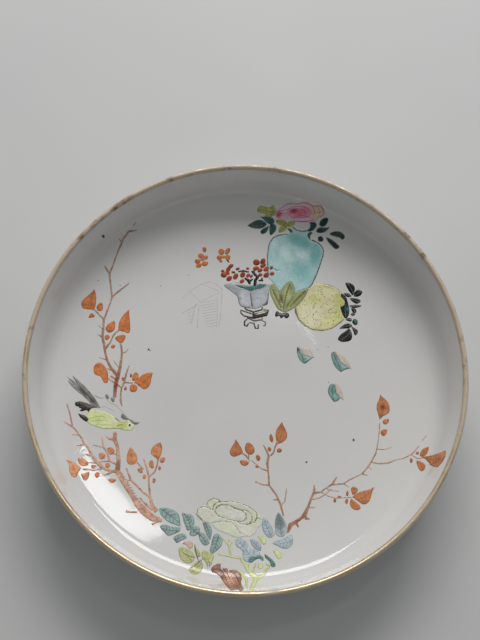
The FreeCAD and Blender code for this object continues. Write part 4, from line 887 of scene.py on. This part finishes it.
paste_profile = upper_profile(-GLAZE, 16) + lip_profile(-GLAZE, 8) + outer_profile(-GLAZE, 16)
paste_profile += [(FOOT_RADIUS - GLAZE, REST_BEVEL), (REST_OUTER, 0.0), (REST_INNER, 0.0)]
paste_profile += [(RECESS_RADIUS + GLAZE, REST_BEVEL)]
paste_profile += recess_profile(-GLAZE, REST_BEVEL)[-2::-1]
paste = lathe("porcelain_paste", paste_profile, 256, paste_material, ruffle=0.02)
finish_piece(paste, "porcelain_body")

glaze_outer = upper_profile(0, 40) + lip_profile(0, 14) + outer_profile(0, 24)
glaze_outer += [(FOOT_RADIUS, 5.2), (FOOT_RADIUS, GLAZE_LINE + 0.25), (FOOT_RADIUS - 0.12, GLAZE_LINE)]
glaze_inner = upper_profile(-GLAZE, 12) + lip_profile(-GLAZE, 6) + outer_profile(-GLAZE, 12)
glaze_inner += [(FOOT_RADIUS - GLAZE, GLAZE_LINE)]
coat = lathe("glaze_coat_skin", glaze_outer + glaze_inner[::-1], 384, glaze_material)
finish_piece(coat, "glaze_coat")

base_inner = recess_profile(0, GLAZE_LINE)
base_outer = recess_profile(-GLAZE, GLAZE_LINE)
base = lathe("glaze_base_skin", base_inner + base_outer[::-1], 256, base_material)
finish_piece(base, "glaze_base")

gilt_over = [wall_point(GILT, GILT_WIDTH)] + lip_profile(GILT, 14)
gilt_under = [wall_point(0, GILT_WIDTH)] + lip_profile(0, 14)
gilt = lathe("gilded_lip", gilt_over + gilt_under[::-1], 384, gilt_material, closed=True, ruffle=0.06)
finish_piece(gilt, "gilt_rim")

paint("pink_peony", tone=(206, 160, 166), edge=(184, 126, 138), lift=0.1, blots=[
    (30, 100.6, 10, 1.3, 0, (205, 172, 180), 0.8), (33, 96.4, 6, 2.6, 8, (204, 96, 120), 0.85),
    (28.6, 97.8, 2.4, 1.3, 10, (146, 40, 70), 0.9), (19.9, 95.6, 2.2, 1.9, 60, (164, 62, 88), 0.85),
    (25, 94, 4, 1.1, 0, (214, 160, 172), 0.8), (34.6, 92.8, 5.6, 1.3, 0, (206, 162, 182), 0.8),
    (42.6, 95.8, 4.6, 3.6, 0, (214, 172, 142), 0.8), (41, 99, 3, 1.2, 0, (208, 160, 150), 0.6),
], lines=[
    (CRIMSON,
     [(24.5, 96.4), (26.6, 99.3, 0.4), (32, 100), (37, 98.4, 0.35), (38.4, 95.4), (34.5, 93.7, 0.4),
      (28.5, 94.1, 0.35), (24.8, 96.2, 0.25)], [(19, 95, 0.5), (22, 96.4, 0.4), (25, 96.3, 0.25)],
     [(19.4, 97.6), (23, 98.2, 0.35), (26.4, 99.2, 0.25)],
     [(29.6, 91.9, 0.4), (34.2, 91.5, 0.6), (40.8, 92.1, 0.4)],
     [(28.2, 93.4, 0.25), (31, 94.6), (36, 94.4), (40.4, 92.4, 0.25)],
     [(28, 98.8, 0.25), (31.4, 97.6), (33.6, 95.6, 0.2)],
     [(30.4, 99.2, 0.25), (34.2, 97.9), (36.2, 96, 0.2)]),
    ((150, 104, 130), [(21.6, 99.6), (26.2, 101.6, 0.35), (30.6, 100.9), (34.4, 101.3, 0.35), (40, 99.2)]),
    ((160, 112, 130), [(26.8, 101.4, 0.25), (27.6, 100.2, 0.2), (27.4, 99.4, 0.2)],
     [(34.2, 101.2, 0.25), (34.4, 99.9, 0.2), (33.8, 99.2, 0.2)]),
    (PETAL_BROWN, [(38.4, 99.8, 0.25), (40.4, 97.6, 0.35), (40, 94, 0.25)],
     [(42, 98.7, 0.25), (43.6, 96.4, 0.35), (42.6, 93.9, 0.25)],
     [(38.2, 95.2, 0.25), (41.2, 96.2), (45.2, 95.9, 0.35)],
     [(40, 99.2), (44, 98.4, 0.35), (45.8, 95.6, 0.4), (43, 93.5, 0.35)]),
])
paint("peony_green_leaves", tone=(146, 150, 88), edge=(122, 126, 72), lift=0.09,
      veins=((66, 66, 44), 0.36, 3), grow=0.3, drift=0.16,
      blots=[(14, 98, 3, 1.5, 20, (172, 170, 100), 0.6), (25.5, 90, 3, 1, 0, (166, 168, 104), 0.5)])
paint("peony_dark_leaves_left", DARK_LEAF, blots=[
    (16.4, 89.6, 3.4, 4.2, 0, (52, 88, 88), 0.85), (13, 93, 3, 1.6, 0, (74, 108, 108), 0.7),
    (6, 89.6, 3.4, 1.4, 0, (92, 98, 92), 0.7),
], barbs=[
    ((20, 25, 25), (3.4, 89.8), (12.4, 90.4), 1.9, 6, 0.3, 0.9),
    ((20, 25, 25), (3.4, 89.6), (12.4, 90.2), 1.7, 6, 0.3, -0.9),
])
paint("peony_dark_leaves_right", DARK_LEAF, tone=(44, 58, 56), blots=[
    (40, 88, 2, 3, 0, (58, 96, 92), 0.6), (47, 86.6, 3.4, 1, 0, (72, 104, 100), 0.6),
    (54, 83.4, 3, 1.4, 0, (84, 96, 90), 0.6),
], barbs=[
    ((20, 25, 25), (56.6, 81.8), (50.4, 84.8), 1.6, 6, 0.3, 0.9),
    ((20, 25, 25), (56.6, 81.8), (50.4, 84.8), 1.4, 6, 0.3, -0.9),
])
paint("turquoise_vase", tone=(148, 174, 173), edge=(138, 166, 166), edge_width=1.0, drift=0.07,
      grow=0.2, blots=[
    (32, 80, 8, 3.4, -27, (96, 146, 146), 0.85), (40.6, 71.6, 3, 6.4, -10, (98, 148, 148), 0.8),
    (32, 62.6, 5, 5.2, 20, (108, 156, 156), 0.7), (36, 57, 3, 3, 0, (124, 166, 166), 0.5),
    (23.5, 73, 3, 4.6, 10, (170, 194, 192), 0.75), (33, 72, 3, 1.8, 0, (172, 196, 194), 0.7),
    (16.6, 79, 2.4, 4, 0, (172, 194, 192), 0.6), (18, 66, 3.4, 6, 0, (158, 186, 186), 0.5),
    (26, 85.4, 3, 1.2, 0, (120, 160, 160), 0.6),
], dots=[
    (28.5, 60, 0.3, (206, 214, 210)), (32, 59.2, 0.3, (206, 214, 210)), (25.5, 59, 0.28, (84, 110, 108)),
    (31, 59.5, 0.22, (84, 110, 108)), (36.4, 77.2, 0.25, (90, 130, 128)), (22, 80.2, 0.22, (110, 146, 146)),
])
paint("vase_lines", LINES, tone=(70, 78, 76), edge=(84, 92, 88))
paint("leaf_wrap", tone=(129, 132, 97), edge=(116, 120, 82), edge_width=0.6, lift=0.1, drift=0.16,
      grow=0.26, blots=[
    (20.6, 46, 1.1, 2.4, -12, (96, 76, 48), 0.85), (24.4, 49, 1.6, 4.6, 0, (172, 176, 126), 0.6),
    (17.4, 50, 1.2, 4, 10, (142, 150, 92), 0.6), (31, 48, 2.4, 1.8, 45, (140, 146, 84), 0.6),
], barbs=[
    (OLIVE_LINE, (26, 54.6), (22.6, 41.4), 2.6, 14, 0.2, 0.75, -0.75),
    (OLIVE_LINE, (34.6, 51), (27.4, 42.8), 2.2, 12, 0.2, 0.8, -0.8),
    (OLIVE_LINE, (16, 53.6), (18.4, 44), 1.5, 11, 0.2, 0.7, -0.7),
])
paint("leaf_wrap_veins", LINES, tone=(84, 84, 50))
paint("vase_foot", tone=(42, 39, 35), edge=(36, 34, 32), lift=0.1, drift=0.3,
      blots=[(21, 37.2, 2.4, 0.6, 0, (120, 112, 100), 0.7)])
paint("citron", tone=(181, 175, 138), edge=(168, 164, 120), edge_width=1.1, lift=0.1, drift=0.08, grow=0.2,
      speckle=(190, (88, 88, 60)), blots=[
    (40, 45.6, 4, 2.6, 10, (172, 172, 104), 0.6), (54, 43, 3.4, 8.5, 0, (164, 168, 98), 0.75),
    (37.6, 37, 5.6, 6, 0, (212, 212, 164), 0.6), (46.6, 49.8, 6, 2.6, 0, (208, 208, 156), 0.5),
    (48.6, 33.4, 5, 2.6, 20, (184, 186, 118), 0.5),
])
paint("citron_line", LINES, tone=(112, 112, 74))
paint("citron_leaves", tone=(29, 32, 28), edge=(52, 54, 50), edge_width=0.4, lift=0.09, drift=0.35,
      grow=0.24, veins=((118, 128, 112), 0.3, 2), blots=[
    (58, 40, 1.2, 1.4, 0, (60, 116, 112), 0.7), (62, 33, 1, 1.2, 0, (60, 116, 112), 0.7),
    (62, 29.4, 1, 1, 0, (60, 116, 112), 0.6),
])
paint("flowerpot", tone=(146, 148, 150), edge=(138, 140, 145), edge_width=0.7, drift=0.12,
      grow=0.2, dots=[(7.4, 46.8, 0.4, (80, 78, 70)), (0.2, 49, 0.25, (110, 110, 112))], blots=[
    (-7, 52, 4.4, 3, -40, (134, 138, 140), 0.7), (0.6, 46.6, 2.2, 4.4, 10, (176, 176, 184), 0.6),
    (9, 46.4, 3, 4, 0, (158, 160, 170), 0.6), (2, 55.4, 14, 0.8, 0, (200, 196, 178), 0.8),
    (-2.4, 46.4, 1.1, 0.9, 0, (128, 126, 88), 0.8),
], lines=[
    ((96, 98, 104),
     [(-11, 54), (-8.8, 52.2, 0.35), (-6.2, 50.2, 0.4), (-3.6, 47.8, 0.4), (-3, 45, 0.4), (-1.8, 42.2)]),
    ((116, 116, 118),
     [(-11, 54.4, 0.25), (-8.6, 53), (-3, 52.2), (0.6, 51.6), (3.4, 50.7, 0.35), (8, 51.8), (11.4, 53),
      (14.4, 54.2)]),
    ((100, 100, 104), [(-11, 54.5, 0.25), (-5, 55.8), (0, 54.9, 0.25)],
     [(6, 54.8, 0.25), (10, 55.1), (14.4, 54.5)]),
])
paint("flowerpot_soil", tone=(70, 106, 102), edge=(60, 84, 82), lift=0.1, drift=0.35,
      scatter=(46, (28, 38, 38), 0.34), grow=0.2)
paint("flowerpot_lines", LINES, tone=(90, 90, 92))
paint("pot_stand", LINES, tone=(54, 50, 46), edge=(84, 78, 72),
      lines=[((176, 172, 154), [(6.2, 36.9, 0.7), (9.2, 37.7, 1.1), (12, 38.3, 0.8)])], washes=[
    ((196, 192, 174), (-1.6, 39.4), (1.4, 40), (5.2, 39), (9.8, 40), (13.2, 39), (12.4, 36.8), (5.2, 35.2),
     (0, 36.6)),
])
paint("flower_stems", tone=(34, 31, 28), edge=(46, 42, 38), lift=0.1, keep=400, drift=0.3, grow=0.12)
paint("red_flowers", tone=(126, 60, 6), edge=(140, 80, 24), edge_width=0.4, lift=0.12, drift=0.45,
      kind=WASH, scatter=(60, (160, 88, 46), 0.24), grow=0.34)
paint("floating_blossoms", tone=(166, 104, 66), edge=(160, 100, 62), edge_width=0.4, lift=0.06, drift=0.34,
      kind=WASH, scatter=(22, (140, 62, 32), 0.24), grow=0.34)
paint("book_box_lines", LINES, tone=(156, 155, 153), lift=0.04, grow=-0.04, barbs=[
    ((164, 163, 160), (-15, 46.6), (-15.4, 30), 10.4, 10, 0.2, -1.36),
    ((166, 165, 162), (-27.4, 43), (-29, 32), 5, 5, 0.2, -0.9),
])
paint("caltrop_shells", tone=(104, 132, 126), edge=(78, 104, 98), lift=0.09, drift=0.25, grow=0.14, blots=[
    (29.4, 17.4, 0.8, 1.6, 0, (40, 56, 54), 0.9), (34.4, 11.4, 1.6, 0.9, 0, (126, 158, 150), 0.6),
    (54.4, 6.6, 1.6, 0.8, 0, (122, 166, 158), 0.6), (48.6, -9.8, 1, 1.2, 0, (120, 164, 156), 0.6),
], lines=[
    ((36, 44, 42), [(29.3, 18.2, 0.4), (30.4, 14.8), (31.6, 12.6), (32.6, 9)],
     [(48.6, 15), (50, 11.4), (51.6, 8), (52.6, 4.2)], [(48.4, -3), (47.4, -7), (48, -12.2)]),
    ((40, 50, 48), [(32.6, 8.9), (35, 10.5, 0.25), (36.7, 11.7, 0.25)],
     [(52.7, 4.2), (55, 5.4, 0.25), (57, 5.8, 0.25)]),
])
paint("caltrop_kernels", tone=(172, 162, 153), edge=(140, 128, 118), edge_width=0.35, lift=0.05, kind=WASH)
paint("upper_left_twigs", TWIGS,
      blots=[(-69.6, -2, 2.4, 6, 0, (120, 70, 50), 0.85), (-74, 10, 3, 8, 20, (140, 92, 68), 0.5)])
paint("upper_left_leaves", RED_LEAF, tone=(176, 110, 70))
paint("bird_body", tone=(182, 194, 142), edge=(156, 164, 106), edge_width=0.6, drift=0.18,
      grow=0.2, blots=[
    (-66, -25.4, 2.6, 1.6, 0, (168, 164, 92), 0.7), (-79, -22, 4, 1.8, 15, (158, 172, 104), 0.6),
    (-72, -24, 3.4, 2, 10, (196, 208, 156), 0.6),
], lines=[
    ((82, 84, 50), [(-69, -26), (-67, -25.4, 0.5), (-64.6, -25.2)]),
    ((128, 136, 84), [(-84.4, -22.2, 0.25), (-79, -21), (-74.6, -21, 0.2)],
     [(-82.6, -23.8, 0.25), (-77.4, -23.2), (-72.6, -23.2, 0.2)]),
    ((132, 138, 86), [(-80, -25.4, 0.25), (-75, -25.4), (-70.8, -25.6, 0.2)]),
    ((120, 122, 76), [(-68.6, -22.8, 0.25), (-65.4, -24), (-62.6, -23.2, 0.25)]),
])
paint("bird_wing", tone=(54, 50, 44), edge=(44, 42, 38), lift=0.09, drift=0.3,
      blots=[(-83, -15.6, 2.4, 0.7, -15, (104, 98, 86), 0.6)], lines=[
    ((26, 25, 24), [(-90.6, -14.2), (-86, -14.4, 0.4), (-81, -15.8)]),
    ((120, 116, 100), [(-88.4, -13.9, 0.2), (-85, -14.9, 0.25), (-82, -16, 0.2)]),
    ((26, 25, 24), [(-88.6, -16), (-86.4, -16.2), (-83.6, -17.6)],
     [(-88.8, -19.8), (-86.4, -21.2, 0.4), (-84.4, -23.2)]),
])
paint("bird_tail", tone=(118, 117, 112), edge=(146, 144, 138), edge_width=0.6, lift=0.06, drift=0.4,
      kind=WASH, blots=[
    (-87, -7.5, 2.8, 0.8, -45, (52, 50, 46), 0.8), (-82, -12, 2.6, 0.8, -45, (56, 54, 50), 0.7),
], lines=[
    ((58, 56, 52), [(-79, -15.4), (-84.4, -9.6, 0.4), (-89, -4.4, 0.35), (-92.8, 0.8, 0.2)]),
    ((70, 68, 62), [(-80.2, -15, 0.25), (-86, -9.6, 0.35), (-90.6, -5.2), (-95, -1.6, 0.15)],
     [(-78.4, -14.6, 0.25), (-82.8, -8.6), (-88, -3, 0.2)]),
    ((140, 138, 132), [(-81, -9.2, 0.4), (-78.6, -10.4, 0.8), (-75.6, -10.8, 0.4)]),
    ((150, 149, 146), [(-75, -11, 0.25), (-72, -13.4), (-69, -15, 0.25), (-65, -19, 0.25)]),
    ((154, 153, 150), [(-78.6, -16, 0.25), (-74.6, -15.6), (-70, -18, 0.2)]),
])
paint("bird_head", tone=(112, 112, 108), edge=(140, 140, 136), lift=0.1, drift=0.3,
      dots=[(-61.7, -25.4, 1.45, (196, 196, 186)), (-61.7, -25.4, 0.9, (22, 22, 22))], lines=[
    ((34, 33, 32), [(-59.8, -24.2), (-58.2, -24.3, 0.5), (-56.4, -23.9, 0.25)]),
    ((120, 118, 110), [(-65.4, -20, 0.25), (-63, -21.6), (-60.4, -22.9, 0.25)]),
])
paint("lower_left_twigs", TWIGS, tone=(172, 138, 120), edge=(160, 120, 102),
      scatter=(46, (110, 62, 46), 0.3), blots=[
    (-68, -48, 3, 3.4, 0, (138, 92, 74), 0.7), (-69, -33, 3, 3, 0, (148, 104, 86), 0.6),
    (-52, -71, 5, 2.4, -35, (176, 128, 110), 0.6),
], barbs=[
    ((122, 74, 58), (-66, -51), (-54, -68), 1.6, 12, 0.3, 0.9),
    ((122, 74, 58), (-64, -57), (-48, -73), 1.6, 12, 0.3, -0.8),
])
paint("lower_left_leaves", RED_LEAF, tone=(178, 124, 90), edge=(166, 100, 64),
      blots=[(-88, -48, 9, 7, 0, (198, 138, 104), 0.8)])
paint("middle_twigs", TWIGS)
paint("middle_leaves", RED_LEAF)
paint("right_twigs", TWIGS, blots=[(25, -76, 7, 5, 30, (134, 90, 70), 0.7)])
paint("right_leaves", RED_LEAF, blots=[(74.2, -16.2, 1.1, 1.6, 0, (110, 50, 26), 0.8)])
paint("pale_peony", tone=(178, 179, 166), edge=(174, 176, 160), edge_width=0.9, lift=0.06, drift=0.05,
      grow=0.2, blots=[
    (-16, -67, 4, 1.6, 20, (180, 186, 160), 0.6), (-6, -72, 5, 2, 0, (196, 200, 184), 0.7),
    (4.6, -74, 1.6, 4, 10, (180, 186, 160), 0.6), (-10, -79.6, 5, 2.4, -10, (184, 189, 164), 0.6),
    (0, -81, 4, 2, 0, (198, 200, 182), 0.6),
], lines=[
    ((170, 174, 150), [(-12, -75.6, 0.25), (-9, -72.4, 0.25), (-3, -72, 0.25)],
     [(-21, -70.6, 0.25), (-22.4, -73, 0.25), (-19.6, -75, 0.25)]),
    ((168, 172, 148), [(-12.6, -80, 0.25), (-8, -80.6, 0.25), (-5.4, -83, 0.25)]),
])
paint("pale_peony_lines", LINES, tone=(112, 114, 92))
paint("teal_leaves_left", tone=(124, 142, 138), edge=(88, 108, 106), edge_width=0.45, drift=0.28,
      veins=((50, 66, 70), 0.42, 5), grow=0.2)
paint("light_green_leaves", tone=(154, 156, 112), edge=(126, 126, 82), drift=0.16,
      veins=((104, 98, 52), 0.32, 3), lines=[
    ((80, 68, 42), [(-33, -92), (-29, -94, 0.5), (-26, -94.6, 0.4)],
     [(-26.6, -88.4, 0.4), (-25.4, -94, 0.5), (-24.2, -97, 0.4)],
     [(-29.4, -100.4), (-25.6, -98, 0.5), (-22.6, -95.4, 0.4)]),
])
paint("leaf_bud", tone=(178, 152, 136), edge=(150, 118, 100), lift=0.05, kind=WASH)
paint("rock_stump", tone=(130, 98, 84), edge=(112, 82, 70), edge_width=0.6, lift=0.09, drift=0.35,
      blots=[(-8.6, -105, 2.6, 3.4, 30, (192, 153, 133), 0.8)], barbs=[
    ((70, 42, 34), (-16.4, -100), (-6, -110.4), 2.4, 10, 0.36, 0.9),
    ((76, 46, 36), (-8, -102.6), (-3.6, -109.6), 2.2, 7, 0.34, -0.9),
], lines=[
    ((72, 42, 34), [(-17.6, -100.4, 0.5), (-14, -100.6, 0.4), (-11.6, -103.6, 0.5), (-9.2, -109.6)],
     [(-9, -101, 0.5), (-6, -103.6, 0.5), (-4.4, -107, 0.5), (-3, -110.8, 0.4)],
     [(-12.6, -99.6, 0.4), (-10.2, -102.6, 0.5), (-8.6, -106, 0.4)]),
])
paint("green_stems", tone=(176, 182, 132), edge=(140, 146, 92), edge_width=0.3, lift=0.07, keep=400,
      drift=0.14)
paint("blue_leaves_right", tone=(152, 162, 166), edge=(120, 134, 138), edge_width=0.6, drift=0.2,
      grow=0.16, veins=((84, 98, 106), 0.34, 5),
      blots=[(17, -76, 2.8, 5, 0, (96, 106, 104), 0.85), (11, -78, 2, 3, 0, (130, 156, 162), 0.5)])
paint("dark_leaf_tips", tone=(92, 124, 118), edge=(70, 98, 94), lift=0.09, drift=0.25,
      veins=((22, 54, 52), 0.26, 2))

SPECKS = [
    (-52.6, 16.8, 0.62), (-51.8, 16.2, 0.4), (32.2, -45.5, 0.6), (57.7, -33.8, 0.7), (-78, 77, 0.5),
    (-77.5, 77.4, 0.45), (-81, 55.6, 0.32), (-69, 53.2, 0.3), (-46.6, 53.6, 0.3), (45.7, -2, 0.3),
    (46.1, 18.2, 0.3), (40.3, 16.9, 0.28), (-31.1, 60.1, 0.28), (26.1, -107.8, 0.3),
]
specks = Painting("iron_specks")
for x, y, radius in SPECKS:
    specks.dot(x, y, radius * 1.5, plain(SPECK_HALO), 0.008, 0.8, x)
    specks.dot(x, y, radius, plain(SPECK), 0.02, 0.8, x)
speck_piece = specks.build(enamel_materials)
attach(speck_piece, "root")

# ---------------- floor, light and camera

FLOOR = 1.6
FLOOR_CORNERS = [(-FLOOR, -FLOOR, 0), (FLOOR, -FLOOR, 0), (FLOOR, FLOOR, 0), (-FLOOR, FLOOR, 0)]
floor_mesh = bpy.data.meshes.new("floor")
floor_mesh.from_pydata(FLOOR_CORNERS, [], [(0, 1, 2, 3)])
floor = new_object("floor", floor_mesh, [make_floor_material()])
floor.location.z = -0.0002


def softbox(name, place, target, width, height, radiance, tint, roll=0.0):
    """An area light whose surface has one radiance whatever its size, rolled about its own axis."""
    data = bpy.data.lights.new(name, "AREA")
    data.shape = "RECTANGLE"
    data.size = width
    data.size_y = height
    data.energy = radiance * width * height * pi * 4
    data.color = tint
    lamp = bpy.data.objects.new(name, data)
    lamp.location = place
    aim = (Vector(target) - Vector(place)).to_track_quat("-Z", "Y")
    lamp.rotation_euler = (aim @ Quaternion((0, 0, 1), radians(roll))).to_euler()
    SCENE.collection.objects.link(lamp)


softbox("window", (1.485, 3.82, 10.0), (-0.065, -0.065, 0.015), 0.8, 1.3, 2.2, (1.0, 1.0, 1.0), roll=-24)
softbox("ceiling", (0.16, 1.25, 1.0), (0, 0, 0.02), 1.1, 0.7, 1.8, (1.0, 0.99, 0.97))

world = bpy.data.worlds.new("studio")
world.use_nodes = True
background = world.node_tree.nodes["Background"]
background.inputs["Color"].default_value = (0.98, 0.99, 1.0, 1.0)
background.inputs["Strength"].default_value = 0.21
SCENE.world = world
SCENE.view_settings.view_transform = "Standard"

camera_data = bpy.data.cameras.new("camera")
camera_data.sensor_width = 36.0
camera_data.lens = 54.06
CAMERA_PLACE = (-0.0166, -0.1320, 0.5176)
camera = bpy.data.objects.new("camera", camera_data)
RIGHT = Vector((0.99964, -0.00832, 0.02540))
FORWARD = Vector((0.02673, 0.31101, -0.95003))
UP = RIGHT.cross(FORWARD)
facing = Matrix((RIGHT, UP, -FORWARD)).transposed().to_4x4()
camera.matrix_world = Matrix.Translation(CAMERA_PLACE) @ facing
SCENE.collection.objects.link(camera)
bpy.context.scene.camera = camera
